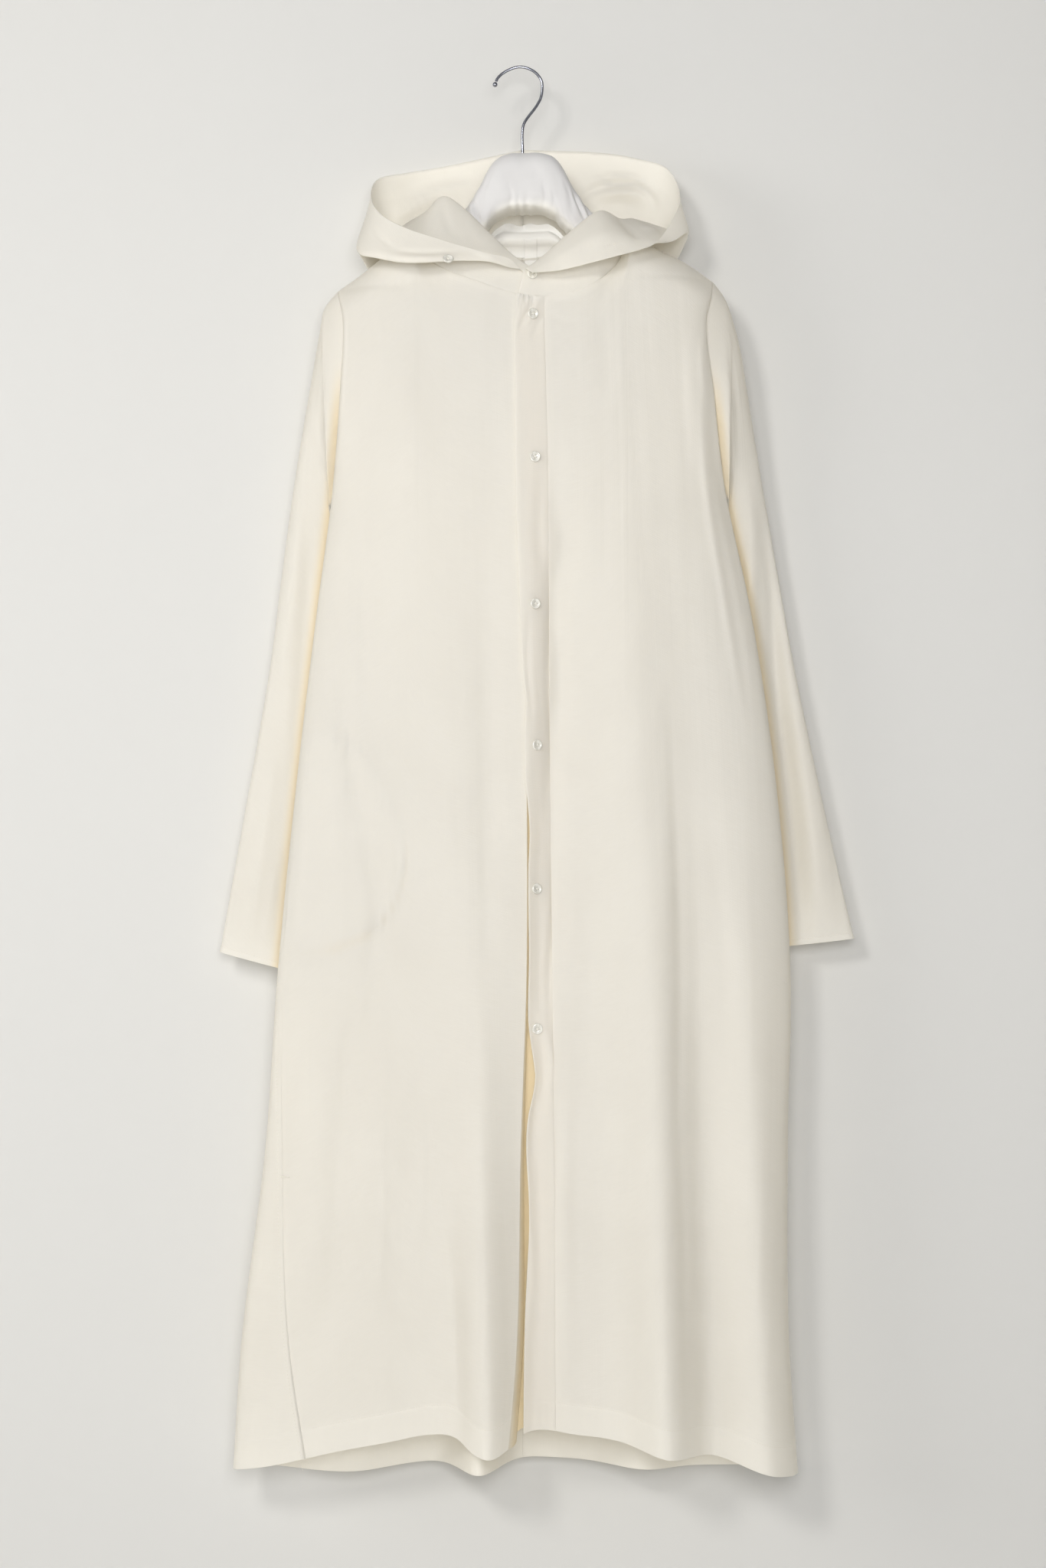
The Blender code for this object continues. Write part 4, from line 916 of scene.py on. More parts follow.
print("sleeves")
sleeves = {
    "wall": 0.42,
    "around": 104,
    "along": 210,
    "even": 6,             # rings until the points stand evenly round the sleeve
    "cuffHem": 7,
    "cuffStitch": 6,
    # painted glow: the shaded hollow beside the body is painted warm for inter-reflected light
    "hollowPaintedGlow": (0.7, 6),   # beside the body: how much, and over which width
    # outer edge, inner edge and half thickness, from below the armhole to the cuff
    "right": [
        ((-203, 1, -249), (-198, 6, -458), 23),
        ((-210, 3, -285), (-195, 17, -470), 22),
        ((-219, 8, -335), (-188, 29, -490), 21),
        ((-232, 14, -410), (-171, 40, -522), 19),
        ((-246, 19, -505), (-150, 46, -560), 17),
        ((-261, 22, -620), (-142, 47, -640), 16),
        ((-281, 23, -735), (-158, 47, -748), 16),
        ((-297, 23, -825), (-178, 46, -842), 15),
        ((-313, 22, -915), (-200, 44, -946), 15),
    ],
    "left": [
        ((212, 1, -240), (215, 6, -453), 23),
        ((225, 3, -280), (213, 17, -466), 22),
        ((235, 8, -335), (208, 29, -487), 21),
        ((248, 15, -412), (192, 41, -519), 19),
        ((265, 20, -507), (176, 47, -560), 17),
        ((286, 22, -625), (170, 47, -640), 16),
        ((309, 23, -733), (188, 47, -744), 16),
        ((327, 23, -815), (209, 46, -826), 15),
        ((347, 22, -901), (234, 44, -914), 15),
    ],
    "rings": 13,
    "waves": (0.7, 0.9, 58, 1100),   # height in front and behind, across and down
    "creases": {
        "right": [
            ([(-199, -270), (-206, -340), (-210, -420)], 6, -1.8),
            ([(-222, -400), (-236, -520), (-250, -640)], 8, 2.8),
            ([(-214, -480), (-226, -600), (-240, -760)], 8, -3.0),
            ([(-256, -700), (-268, -800), (-284, -910)], 8, 2.6),
            ([(-240, -800), (-256, -920)], 8, -2.4),
            ([(-276, -640), (-288, -760), (-304, -900)], 6, -1.6),
            ([(-218, -360), (-206, -400), (-196, -430)], 5, 1.2),
        ],
        "left": [
            ([(212, -262), (221, -330), (226, -400)], 6, -2.0),
            ([(236, -420), (240, -500), (238, -590), (246, -680)], 7, 4.0),
            ([(258, -540), (270, -660), (282, -760), (288, -890)], 13, -11.0),
            ([(250, -440), (262, -540), (270, -640)], 8, -3.4),
            ([(268, -560), (288, -700), (310, -860)], 9, 3.2),
            ([(262, -640), (276, -760), (292, -890)], 8, -3.4),
            ([(244, -700), (262, -820), (276, -900)], 7, 2.4),
            ([(300, -640), (318, -760), (334, -880)], 6, -1.8),
        ],
    },
}


def sleeveRings(side, rows):
    half = np.linspace(0, 1, sleeves["around"] // 2 + 1)
    q = np.concatenate([half, half[-2::-1]])
    frontSide = np.arange(len(q)) < len(half)
    fall = (q * body["armholeShare"]) ** body["rowCrowding"]
    z = sideTop(side) + (sideHem(side) - sideTop(side)) * fall
    x = section("left" if side < 0 else "right", z)
    opening = armhole(side, z)
    y = section("side", z) + np.where(frontSide, -opening, opening)
    start = np.stack([x, y, z], axis=-1)
    start[0] = start[-1] = (x[0], 0, z[0])
    rings = [start]
    keys = range(len(rows))
    for i in range(sleeves["rings"] + 1):
        t = np.array((len(rows) - 1) * i / sleeves["rings"])
        outer = smooth(keys, [row[0] for row in rows], t)
        inner = smooth(keys, [row[1] for row in rows], t)
        thick = float(smooth(keys, [row[2] for row in rows], t))
        middle, arm = (outer + inner) / 2, (outer - inner) / 2
        along = arm / np.linalg.norm(arm)
        toward = np.array((0.0, -1.0, 0.0))
        toward -= along * toward.dot(along)
        toward /= np.linalg.norm(toward)
        even = min((i + 1) / sleeves["even"], 1)
        turn = np.arccos(1 - 2 * q ** body["rowCrowding"]) * (1 - even) + math.pi * q * even
        turn = np.where(frontSide, turn, -turn)[:, None]
        rings.append(middle + arm * np.cos(turn) + toward * thick * np.sin(turn))
    return np.array(rings)


cuffStitches = {}
for name, side, key in (("rightSleeve", -1, "right"), ("leftSleeve", 1, "left")):
    rings = sleeveRings(side, sleeves[key])
    last = len(rings) - 1
    at = np.concatenate([np.linspace(0, 1, 30)[:-1] ** 1.6,
                         np.linspace(1, last - 0.35, sleeves["along"] - 50),
                         last - 0.35 * np.linspace(1, 0, 22)[1:] ** 1.4])
    grid = smooth(range(last + 1), rings, at)
    out = facing(grid, flip=side > 0, closed=True)
    ahead = np.clip(-out[..., 1], 0, 1)
    x, z = grid[..., 0], grid[..., 2]
    before, behind, across, down = sleeves["waves"]
    height = creaseHeight(x, z, sleeves["creases"][key]) + softWaves(x, z, 2.2 + side, across, down) * before
    height = height * ahead + softWaves(x, z, 5.2 + side, across, down) * behind * np.clip(out[..., 1], 0, 1)
    run = np.linalg.norm(np.diff(grid, axis=0), axis=2)
    left = np.concatenate([np.cumsum(run[::-1], axis=0)[::-1], np.zeros((1, run.shape[1]))])
    fade = ease((at[:, None] - 0.15) / 1.2)
    height = height * fade + 0.4 * ease((sleeves["cuffHem"] - left) / 0.9)
    height -= groove(left - sleeves["cuffStitch"], body["stitchDent"], 0.8)
    height -= groove(np.linalg.norm(grid - grid[:1], axis=2), body["seamDepth"], 1.1)
    grid = grid + out * height[..., None]
    bodyEdge = section("left" if side < 0 else "right", grid[..., 2])
    # painted warm glow in the shaded hollow beside the body
    warmth, reach = sleeves["hollowPaintedGlow"]
    beside = np.exp(-((grid[..., 0] - bodyEdge - 2 * side) / reach) ** 2) * ease((-300 - grid[..., 2]) / 80)
    # the cuff hem is painted lighter, as painted light
    clothPiece(name, ["sleeve_" + key], grid, sleeves["wall"], flip=side > 0, closed=True,
               paintedLight=ease((sleeves["cuffHem"] - left) / 1.2), paintedGlow=warmth * beside * ahead)
    # the ring of stitches a little above the cuff's edge, and the way it faces
    above = sleeves["cuffStitch"]
    cuffStitches[name] = [np.array([[np.interp(-above, -left[:, k], values[:, k, n]) for n in range(3)]
                                    for k in range(grid.shape[1])]) for values in (grid, out)]

print("hood")
hoodGrids = {}
for name, side, key in (("rightHood", -1, "right"), ("leftHood", 1, "left")):
    grid = hoodGrid(hood[key])
    share = np.linspace(0, 1, hood["steps"])[:, None] + 0 * grid[..., 0]
    out = facing(grid, flip=side > 0)
    height = np.zeros(grid.shape[:2])
    for path, width, up, (low, high) in hood["creases"][key]:
        within = ease((share - low) / 0.08) * ease((high - share) / 0.08 + 1)
        height += creaseHeight(grid[..., 0], grid[..., 2], [(path, width, up)]) * within
    up, across, down = hood["waves"]
    height += up * softWaves(grid[..., 0], grid[..., 2], 3.1 + side, across, down) * ease(share * 5)
    grid = grid + out * height[..., None]
    grid = tuckEdges(grid, ("top", "outer"), flip=side > 0, depth=0.2)
    hoodGrids[key] = grid
    down = grid[:1] - grid[2:3]
    down /= np.linalg.norm(down, axis=2, keepdims=True)
    inward = facing(grid, side > 0)[:1]
    allowance = [grid[:1] + down * wide - inward * behind for wide, behind in hood["allowance"]]
    grid = np.concatenate(allowance + [grid])
    # painted light: the turned-in facing and the lapels are painted lighter
    turnedIn = ease((hood["facing"] - np.linalg.norm(grid - grid[-1:], axis=2)) / 2)
    lighter, until, over = hood["paintedLapelLight"]
    paintedLapelLight = lighter * ease((until - np.linspace(0, 1, hood["columns"])) / over)
    clothPiece(name, ["hood_" + key], grid, hood["wall"], flip=side > 0, paintedLight=np.maximum(paintedLapelLight, turnedIn))


# the nearest place on a laid grid to a point of the picture plane, and the direction it faces
def seatOn(grid, x, z, shares, flip):
    rows = grid.shape[0]
    low, high = int(shares[0] * (rows - 1)), int(shares[1] * (rows - 1))
    part = grid[low:high + 1]
    away = np.hypot(part[..., 0] - x, part[..., 2] - z)
    r, c = np.unravel_index(np.argmin(away), away.shape)
    return part[r, c], facing(grid, flip)[low + r, c]


print("pocket bag")
# margin: from the body's side edge; behind: from the front's outer face
pocket = {"margin": 12, "behind": 2.4, "wall": 1.1, "columns": 36, "rows": 90}
levels, inner = zip(*body["pocket"][1:])
bagZ = np.linspace(levels[0], levels[-1], pocket["rows"])[:, None]
bagShare = np.linspace(0, 1, pocket["columns"])[None, :]
bagEnd = section("left", bagZ) + pocket["margin"]
bagX = smooth(levels, inner, bagZ) * (1 - bagShare) + bagEnd * bagShare
bagGrid = bodyPoint(bagX, bagZ + 0 * bagX, True)
bagGrid[..., 1] += pocket["behind"]
clothPiece("pocketBag", ["pocket_bag"], bagGrid, pocket["wall"], flip=True)

print("stitching")
thread = {"pitch": 2.7, "length": 2.0, "radius": 0.24}
trims = {
    # from, to and whether it is the front's
    "hems": {"rightFrontHem": (-212, -13, True), "leftFrontHem": (38, 277, True),
             "backHem": (-286, 276, False)},
    "strip": (-925, -1440, 5),           # from, to and how far inside the strip's edge
    "stripThread": {"pitch": 3.6, "length": 1.6, "radius": 0.3},
    "bar": (-245, -236, -1142, 0.5),     # from, to, height and how far it stands out
    "barThread": {"pitch": 0.55, "length": 0.5, "radius": 0.7},
}


def addTrim(name, path, outward, **sizes):
    line = sewLine(name, path, outward, ivoryThread, **{**thread, **sizes})
    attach(line, "root")


def hemLine(name, low, high, front):
    x = np.linspace(low, high, 260)
    z = hem(x, front) + body["hemDepth"] - body["hemStitch"]
    outward = np.tile((0.0, -1.0 if front else 1.0, 0.0), (len(x), 1))
    addTrim(name, bodyPoint(x, z, front), outward)


for name, reach in trims["hems"].items():
    hemLine(name, *reach)
for name, (ring, outward) in cuffStitches.items():
    addTrim(name + "Hem", ring, outward)

upper, lower, inside = trims["strip"]
stripZ = np.linspace(upper, lower, 200)
strip = bodyPoint(seamX(stripZ) - inside, stripZ, True)
strip[:, 1] -= backs["stripStep"]
addTrim("sideSeamStitches", strip, np.tile((0.0, -1.0, 0.0), (len(strip), 1)), **trims["stripThread"])

# short bar of close stitches where the pocket's opening ends
low, high, level, ahead = trims["bar"]
barX = np.linspace(low, high, 12)
bar = bodyPoint(barX, np.full(len(barX), float(level)), True)
bar[:, 1] -= ahead
addTrim("pocketBar", bar, np.tile((0.0, -1.0, 0.0), (len(bar), 1)), **trims["barThread"])

print("buttons")
button = {
    "radius": 5.5, "thick": 2.6, "holeRadius": 0.75, "holeOut": 1.45, "around": 56,
    "turns": [12, -8, 20, 34, -15, 5, 48, 26],   # degrees, one for each button
    "seat": 0.2,                     # from the band's face to the button's underside
    "floor": 0.68,                   # height of the dished middle, as a share of the thickness
    "strand": (0.35, 0.28, 0.32),    # beyond the holes, half width and half height
    "strandLift": 0.12,
    "shank": (1.5, 1.2, 1.2, -0.5),  # lower and upper radius, length and height of its middle
}


def buttonShape():
    r, t = button["radius"], button["thick"]
    bm = bmesh.new()
    profile = [(0, 0), (r * 0.72, 0), (r * 0.93, t * 0.25), (r, t * 0.6), (r * 0.97, t * 0.85),
               (r * 0.9, t * 0.98), (r * 0.8, t), (r * 0.7, t * 0.93), (r * 0.6, t * 0.76),
               (r * 0.5, t * 0.7), (0, t * button["floor"])]
    chain = [bm.verts.new((x * mm, 0, z * mm)) for x, z in profile]
    for a, b in zip(chain, chain[1:]):
        bm.edges.new((a, b))
    bmesh.ops.spin(bm, geom=bm.verts[:] + bm.edges[:], axis=(0, 0, 1), cent=(0, 0, 0), angle=2 * math.pi,
                   steps=button["around"], use_merge=True)
    bmesh.ops.remove_doubles(bm, verts=bm.verts, dist=1e-6)
    bmesh.ops.recalc_face_normals(bm, faces=bm.faces)
    disc = addPiece("buttonDisc", bm, shellButton)
    holes = bmesh.new()
    for k in range(4):
        turn = math.pi / 4 + k * math.pi / 2
        out = button["holeOut"] * mm
        bmesh.ops.create_cone(holes, cap_ends=True, segments=16, radius1=button["holeRadius"] * mm,
                              radius2=button["holeRadius"] * mm, depth=0.01,
                              matrix=Matrix.Translation((out * math.cos(turn), out * math.sin(turn), 0)))
    drill = addPiece("buttonDrill", holes, shellButton)
    cut = disc.modifiers.new("holes", "BOOLEAN")
    cut.object = drill
    bpy.context.view_layer.update()
    shape = bpy.data.meshes.new_from_object(disc.evaluated_get(bpy.context.evaluated_depsgraph_get()))
    for spare in (disc, drill):
        bpy.data.objects.remove(spare)
    return shape


discShape = buttonShape()
strandsAt = button["thick"] * button["floor"] + button["strandLift"]
beyond, strandWide, strandHigh = button["strand"]
shankLow, shankTop, shankLong, shankAt = button["shank"]
seats = []
for i in range(8):
    low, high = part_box("button_{}".format(i + 1))
    centre = (np.array(low) + np.array(high)) / 2 / mm
    if i < 2:
        key, shares = ("right", (0.7, 1)) if i == 0 else ("left", (0, 0.4))
        _, normal = seatOn(hoodGrids[key], centre[0], centre[2], shares, i == 1)
        normal = normal * (-1 if normal[1] > 0 else 1)
        seats.append((centre - normal * button["thick"] / 2, normal))
    else:
        place, normal = seatOn(overGrid, centre[0], centre[2], (0, 1), False)
        seats.append((place + normal * button["seat"], normal))
for i, (seat, normal) in enumerate(seats):
    bm = bmesh.new()
    bm.from_mesh(discShape)
    name = "button{}".format(i + 1)
    spin = Matrix.Rotation(math.radians(button["turns"][i]), 4, "Z")
    turn = Vector((0, 0, 1)).rotation_difference(Vector(normal)).to_matrix().to_4x4()
    place = Matrix.Translation(Vector(seat) * mm) @ turn @ spin
    bmesh.ops.transform(bm, verts=bm.verts, matrix=place)
    disc = addPiece(name, bm, shellButton)
    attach(disc, "root")
    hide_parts("button_{}".format(i + 1))
    strands = bmesh.new()
    for cross in (45, 135):
        for beside in (-0.3, 0.3):
            size = Matrix.Diagonal(((button["holeOut"] + beyond) * mm, strandWide * mm, strandHigh * mm, 1))
            lay = Matrix.Translation((0, 0, strandsAt * mm)) @ Matrix.Rotation(math.radians(cross), 4, "Z")
            bmesh.ops.create_uvsphere(strands, u_segments=10, v_segments=8, radius=1,
                                      matrix=place @ lay @ Matrix.Translation((0, beside * mm, 0)) @ size)
    bmesh.ops.create_cone(strands, cap_ends=True, segments=14, radius1=shankLow * mm, radius2=shankTop * mm,
                          depth=shankLong * mm, matrix=place @ Matrix.Translation((0, 0, shankAt * mm)))
    sewn = addPiece(name + "Thread", strands, ivoryThread)
    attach(sewn, "root")

# the buttonhole on the hood's left front edge
slit = {
    "from": (87.7, -195.7), "to": (97.8, -192.6), "stitches": 22, "apart": 0.75, "raised": 0.15,
    "stitch": (0.3, 0.8, 0.3),       # half length, width and height
}
edging = bmesh.new()
start, run = np.array(slit["from"]), np.subtract(slit["to"], slit["from"])
along = Vector((run[0], 0, run[1])).normalized()
for side in (-1, 1):
    for share in np.linspace(0, 1, slit["stitches"]):
        x, z = start + run * share
        seat, normal = seatOn(hoodGrids["left"], x, z, (0.6, 1), True)
        normal = Vector(normal if normal[1] < 0 else -normal)
        across = normal.cross(along).normalized()
        middle = Vector((x, seat[1], z)) + across * side * slit["apart"] + normal * slit["raised"]
        turn = Matrix((across.cross(normal), across, normal)).transposed().to_4x4()
        size = Matrix.Diagonal((*[half * mm for half in slit["stitch"]], 1))
        bmesh.ops.create_uvsphere(edging, u_segments=6, v_segments=4, radius=1,
                                  matrix=Matrix.Translation(middle * mm) @ turn @ size)
hole = addPiece("hoodButtonhole", edging, ivoryThread)
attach(hole, "root")

print("hanger")
hanger = {
    "middle": 5,
    "tilt": 1.3,            # degrees
    "rest": 2.6,            # below the shoulder seam
    "square": 0.55,         # of the section near the neck: 1 is an ellipse, less is boxier
    "around": 112,
    "along": 400,
    # out, top, height, halfDepth; None follows the shoulder seam
    "profile": [(0, -90, 60, 29), (18, -91, 60, 29), (30, -96, 61, 28), (39, -107, 60, 27),
                (47, -123, 51, 25), (58, -140, 44, 22), (78, -160, 38, 18), (98, -179, 33, 10),
                (116, None, 33, 9), (128, None, 33, 11), (144, None, 32, 11), (158, None, 31, 10),
                (170, None, 26, 7)],
    "end": 12,              # length over which each end is rounded
    "waves": (0.5, 0.6, 40, 70),    # height in front and behind, across and down
    "pleats": (0.5, 1.9, 7),        # underneath: height, spacing and how slowly it changes
    # gathers of the cover, seen from the front
    "creases": [
        ([(-34, -166), (-20, -157), (-2, -151), (16, -151)], 2.0, -1.3),
        ([(-26, -153), (-10, -146), (12, -145), (34, -151)], 2.6, 1.2),
        ([(20, -154), (36, -158), (52, -168)], 2.2, -1.0),
        ([(53, -128), (60, -147), (67, -163)], 1.8, -2.4),
        ([(-50, -136), (-46, -152), (-40, -168)], 1.7, -1.6),
        ([(-54, -140), (-50, -155), (-45, -170)], 1.6, 1.3),
        ([(57, -128), (64, -146), (70, -160)], 1.6, 1.6),
        ([(62, -138), (68, -150), (74, -161)], 1.6, -2.0),
        ([(66, -140), (72, -152), (78, -163)], 1.5, 1.2),
        ([(-12, -128), (-9, -138), (-11, -147)], 2.2, -0.7),
        ([(22, -124), (25, -136), (23, -148)], 2.2, -0.7),
        ([(28, -126), (31, -138), (30, -150)], 2.0, 0.6),
        ([(44, -120), (50, -136), (54, -152)], 2.4, -0.8),
        ([(-30, -112), (-38, -132), (-44, -154)], 2.4, -0.8),
        ([(-48, -124), (-54, -140), (-60, -154)], 2.4, -1.0),
        ([(-42, -120), (-46, -138), (-52, -152)], 2.4, 0.8),
        ([(10, -100), (16, -116), (14, -134)], 6, -0.7),
        ([(-18, -98), (-22, -118), (-16, -136)], 6, 0.7),
        ([(28, -112), (34, -128), (36, -142)], 4, 0.8),
    ],
    "hookWire": 1.5,
    "hook": [(-26, -16), (-24, -10.5), (-14, -2.5), (0, 1.5), (14, -3.5), (21.5, -13), (22.3, -21),
             (20.8, -30.5), (17, -38), (3.6, -57), (2.2, -62), (2, -87), (2, -106)],
    "hookStart": 2.4,       # the wire starts inside its ball end
    "ball": 2.6,
}
padRows = [(-out, up, tall, half) for out, up, tall, half in hanger["profile"][:0:-1]] + hanger["profile"]
padTable = []
tilted = math.tan(math.radians(hanger["tilt"]))
for out, up, tall, half in padRows:
    x = out + hanger["middle"]
    up = float(top(x, True)[1]) - hanger["rest"] if up is None else up + x * tilted
    padTable.append((up, tall, half))
padOuts = [row[0] for row in padRows]
edgeOut = padOuts[-1] + hanger["end"] / 2
rounded = hanger["end"]
at = np.concatenate([-edgeOut + rounded * (1 - np.cos(np.linspace(0, math.pi / 2, 12)[:-1])),
                     np.linspace(-edgeOut + rounded, edgeOut - rounded, hanger["along"]),
                     edgeOut - rounded * (1 - np.cos(np.linspace(math.pi / 2, 0, 12)[1:]))])
shape = smooth(padOuts, padTable, at)
intoEnd = np.clip(np.abs(at) - edgeOut + rounded, 0, rounded) / rounded
narrow = np.sqrt(np.clip(1 - intoEnd ** 2, 0, 1))[:, None]
turn = 2 * math.pi * np.linspace(0, 1, hanger["around"] + 1)[None, :]
square = np.where(np.abs(at) < 60, hanger["square"], 1.0)[:, None]
square = np.convolve(np.pad(square[:, 0], 6, mode="edge"), np.ones(13) / 13, "valid")[:, None]
upward, tall, half = shape[:, :1], shape[:, 1:2], shape[:, 2:3]
centreZ = upward - tall / 2
padY = -half * narrow * np.sign(np.sin(turn)) * np.abs(np.sin(turn)) ** square
padZ = centreZ + tall / 2 * narrow * np.sign(np.cos(turn)) * np.abs(np.cos(turn)) ** square
padX = (at + hanger["middle"])[:, None] + 0 * padY
padGrid = np.stack([padX, padY, padZ], axis=-1)
outPad = facing(padGrid, closed=True)
if outPad[len(at) // 2, 0, 2] < 0:
    outPad = -outPad
before, behind, across, down = hanger["waves"]
gathers = creaseHeight(padX, padZ, hanger["creases"]) + before * softWaves(padX, padZ, 7.3, across, down)
puff = gathers * np.clip(-outPad[..., 1] + 0.3, 0, 1)
puff += behind * softWaves(padX, padZ, 9.1, across, down) * np.clip(outPad[..., 1], 0, 1)
up, spacing, drift = hanger["pleats"]
puff += up * np.sin(padX / spacing + 2 * np.sin(padX / drift)) * ease(-1.4 * outPad[..., 2])
padGrid = padGrid + outPad * (puff * narrow)[..., None]
# painted light: the underside, where the cover faces down, is painted lighter
pad = layCloth("hangerPad", padGrid, whiteCover, 0, closed=True, paintedLight=ease(-1.5 * outPad[..., 2] - 0.35))
bm = bmesh.new()
bm.from_mesh(pad.data)
bmesh.ops.recalc_face_normals(bm, faces=bm.faces)
bm.to_mesh(pad.data)
bm.free()
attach(pad, "root")
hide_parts("hanger_pad")

print("neck inside")
neck = {
    "reach": (-62, 66), "columns": 150, "rows": 44, "wall": 0.45,
    # back and up from the neckline seam, to where the roll and the wavy edge lie under the hanger
    "roll": [(-1.0, -4), (-1.8, 4), (-4.5, 9), (-9, 13), (-11, 18), (-9, 23), (-5.5, 26), (-6.5, 30),
             (-7.5, 33)],
    "rise": 33,
    "curl": (30, 13),       # row from which the edge waves, and over how many rows
    "under": 3.5,           # between the hanger's underside and the wavy edge
    "strip": (4, 17),       # the centre back seam's strip, across and down
    "stripFall": (-172, -236),
}
backSeam = np.array([row[0] for row in hood["right"][6:]] + [row[0] for row in hood["left"][9:5:-1]], float)
seamAt = np.linspace(*neck["reach"], neck["columns"])
seam = np.array([np.interp(seamAt, backSeam[:, 0], backSeam[:, k]) for k in range(3)]).T
under = smooth(padOuts, padTable, np.clip(seamAt - hanger["middle"], padOuts[0], padOuts[-1]))
ceiling = under[:, 0] - under[:, 1] - neck["under"]
rise = np.clip(ceiling - seam[:, 2], 3, neck["rise"]) / neck["rise"]
profile = smooth(range(len(neck["roll"])), neck["roll"], np.linspace(0, len(neck["roll"]) - 1, neck["rows"]))
wavy = np.sin(seamAt / 5.2 + 1.3 * np.sin(seamAt / 13)) + 0.5 * np.sin(seamAt / 2.9 + 1)
curlFrom, curlOver = neck["curl"]
topward = ease((np.arange(neck["rows"])[:, None] - curlFrom) / curlOver)
neckGrid = np.stack([
    seamAt[None, :] + 0 * profile[:, :1],
    seam[None, :, 1] + profile[:, :1] * np.minimum(1, rise * 1.6) + 1.3 * wavy * topward,
    seam[None, :, 2] + profile[:, 1:] * rise[None, :] + 0.9 * np.roll(wavy, 5) * topward,
], axis=-1)
# the neck allowance and centre strip are painted lighter, as painted light
clothPiece("neckAllowance", [], neckGrid, neck["wall"], flip=True, paintedLight=0.7, mat=doubleCloth)
stripX = np.linspace(*neck["strip"], 14)
stripZ = np.linspace(*neck["stripFall"], 70)[:, None] + 0 * stripX
_, seamY, seamZ = seam[neck["columns"] // 2]
rollY = np.interp(-stripZ, -(seamZ + profile[::-1, 1]), seamY + profile[::-1, 0])
panelY = bodyPoint(stripX + 0 * stripZ, stripZ, False)[..., 1]
stripGrid = np.stack([stripX + 0 * stripZ, np.minimum(rollY, panelY - body["wall"]) - 0.9, stripZ], axis=-1)
clothPiece("centreStrip", [], stripGrid, neck["wall"], flip=True, paintedLight=0.8, mat=doubleCloth)

path = np.array(hanger["hook"], float)
keys = lengthsAlong(path)
line = smooth(keys, path, np.linspace(hanger["hookStart"], keys[-1], 140))
wire = bpy.data.curves.new("hookWire", "CURVE")
wire.dimensions = "3D"
wire.bevel_depth = hanger["hookWire"] * mm
wire.bevel_resolution = 5
wire.use_fill_caps = True
spline = wire.splines.new("POLY")
spline.points.add(len(line) - 1)
for point, (x, z) in zip(spline.points, line):
    point.co = (x * mm, 0, z * mm, 1)
wire.materials.append(brightWire)
hook = bpy.data.objects.new("hookWire", wire)
bpy.context.scene.collection.objects.link(hook)
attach(hook, "root")
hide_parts("hanger_hook")
low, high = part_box("hook_tip")
bm = bmesh.new()
centre = [(a + b) / 2 for a, b in zip(low, high)]
bmesh.ops.create_uvsphere(bm, u_segments=32, v_segments=20, radius=hanger["ball"] * mm,
                          matrix=Matrix.Translation(centre))
tip = addPiece("hookBall", bm, brightWire)
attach(tip, "root")
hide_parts("hook_tip")

print("stage, light and camera")
studio = {
    "wallAt": 69,
    "floorAt": -1700,
    "side": 10,            # width and height of the wall, in metres
    "wallColour": (0.70, 0.695, 0.675),
    "wallRoughness": 0.9,
    "world": (1.0, 0.995, 0.98),
    "worldStrength": 0.2,
    # place, target, size, power and colour
    "lamps": {
        "windowLight": ((-1.02, -2.95, 0.45), (0, 0, -0.7), 0.6, 28, (1.0, 0.985, 0.95)),
        "sideFill": ((-2.4, -1.5, -0.3), (-0.2, 0, -0.7), 1.3, 17, (1.0, 0.99, 0.97)),
        "frontFill": ((0.05, -3.3, -0.42), (0, 0, -0.6), 1.0, 48, (0.99, 0.99, 1.0)),
        "backFill": ((0.3, 2.4, 0.1), (0, 0, -0.7), 2.2, 24, (1.0, 0.98, 0.94)),
    },
    "lens": 66.6,
    "cameraAt": (0.0024, -3.0, -0.7401),
}


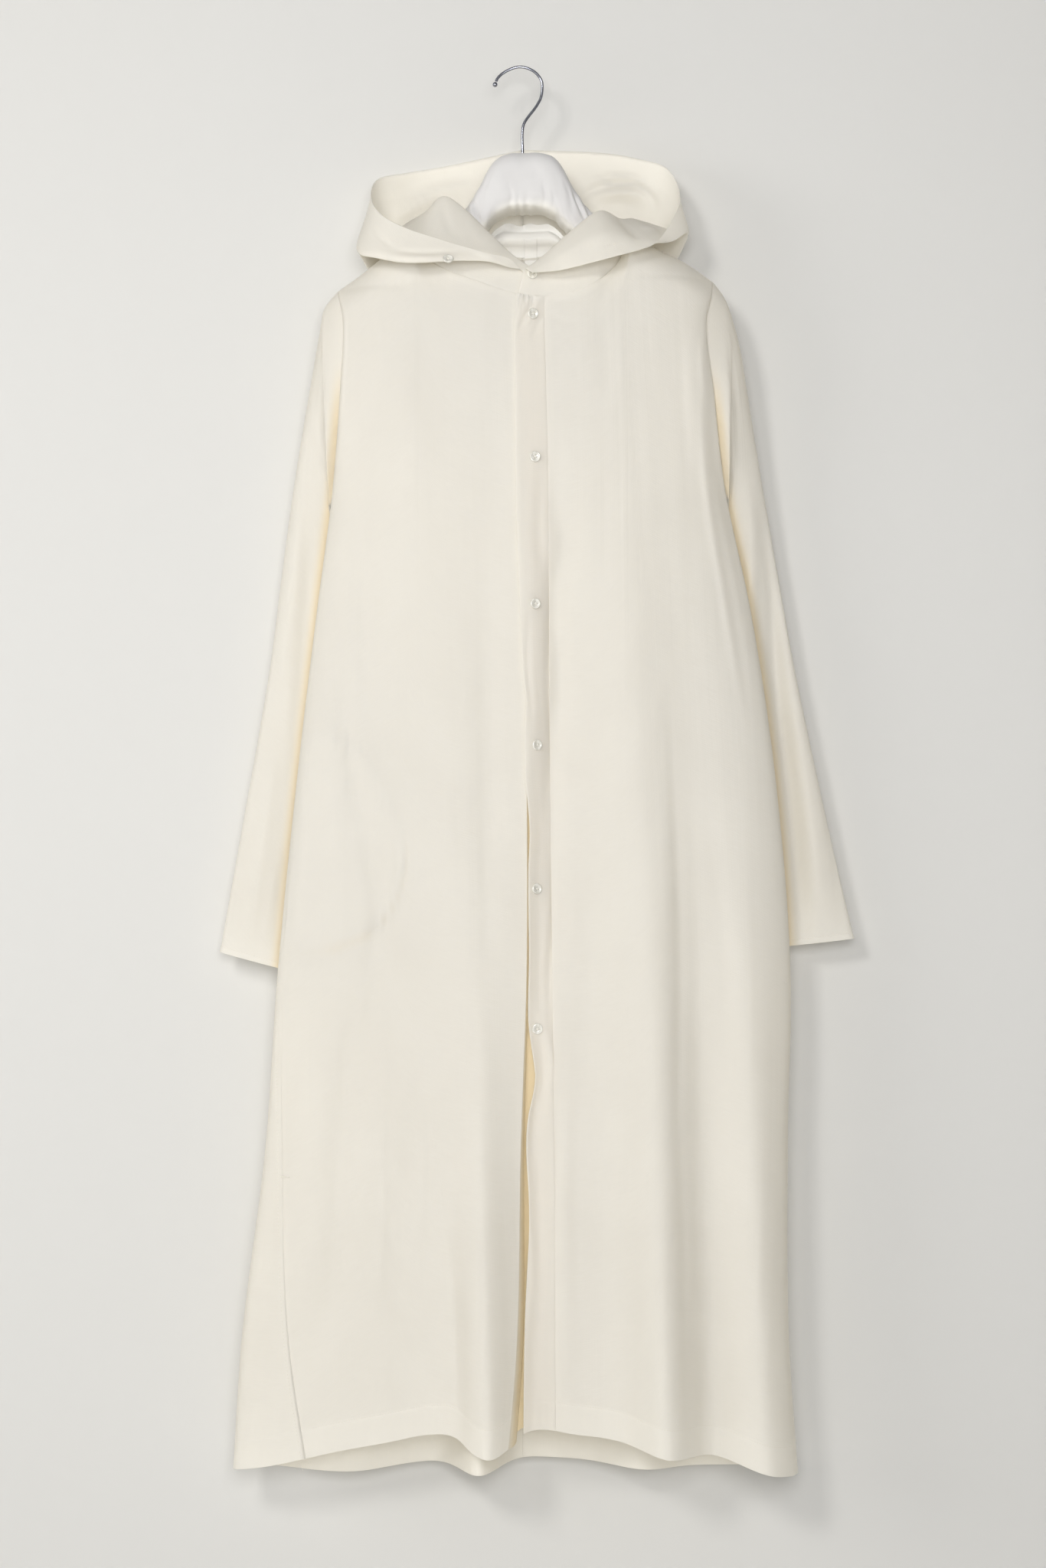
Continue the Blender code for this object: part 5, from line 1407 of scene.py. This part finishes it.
def wallMaterial(seeThrough):
    mat, nodes, shader = newMaterial("stage_wall" if seeThrough else "stage_floor", {
        "Base Color": (*studio["wallColour"], 1), "Roughness": studio["wallRoughness"],
        "Specular IOR Level": 0.2,
    })
    if seeThrough:
        side = addNode(nodes, "ShaderNodeNewGeometry", {})
        clear = addNode(nodes, "ShaderNodeBsdfTransparent", {})
        mix = addNode(nodes, "ShaderNodeMixShader", {
            "Fac": side.outputs["Backfacing"], 1: shader.outputs["BSDF"], 2: clear.outputs["BSDF"],
        })
        setInputs(nodes["Material Output"], {"Surface": mix.outputs["Shader"]})
    return mat


def stagePlane(name, mat, place):
    bm = bmesh.new()
    bmesh.ops.create_grid(bm, x_segments=1, y_segments=1, size=studio["side"] / 2, matrix=place)
    return addPiece(name, bm, mat)


down = studio["floorAt"] * mm
upright = Matrix.Translation((0, studio["wallAt"] * mm, studio["side"] / 2 + down))
upright = upright @ Matrix.Rotation(math.radians(90), 4, "X")
backdrop = stagePlane("stageWall", wallMaterial(True), upright)
ground = stagePlane("stageFloor", wallMaterial(False), Matrix.Translation((0, 0, down)))
backdrop.visible_shadow = False   # so that the lamp behind reaches the back of the dress

world = bpy.data.worlds.new("studio")
bpy.context.scene.world = world
world.use_nodes = True
world.node_tree.nodes["Background"].inputs["Color"].default_value = (*studio["world"], 1)
world.node_tree.nodes["Background"].inputs["Strength"].default_value = studio["worldStrength"]


def softLight(name, place, target, size, power, colour):
    lamp = bpy.data.lights.new(name, "AREA")
    lamp.shape = "DISK"
    lamp.size = size
    lamp.energy = power
    lamp.color = colour
    obj = bpy.data.objects.new(name, lamp)
    obj.location = place
    obj.rotation_euler = (Vector(target) - Vector(place)).to_track_quat("-Z", "Y").to_euler()
    bpy.context.scene.collection.objects.link(obj)


for name, lamp in studio["lamps"].items():
    softLight(name, *lamp)

camera = bpy.data.cameras.new("camera")
camera.sensor_fit = "AUTO"
camera.sensor_width = 36
camera.lens = studio["lens"]
view = bpy.data.objects.new("camera", camera)
view.location = studio["cameraAt"]
view.rotation_euler = (math.radians(90), 0, 0)
bpy.context.scene.collection.objects.link(view)
bpy.context.scene.camera = view
bpy.context.scene.view_settings.view_transform = "Standard"
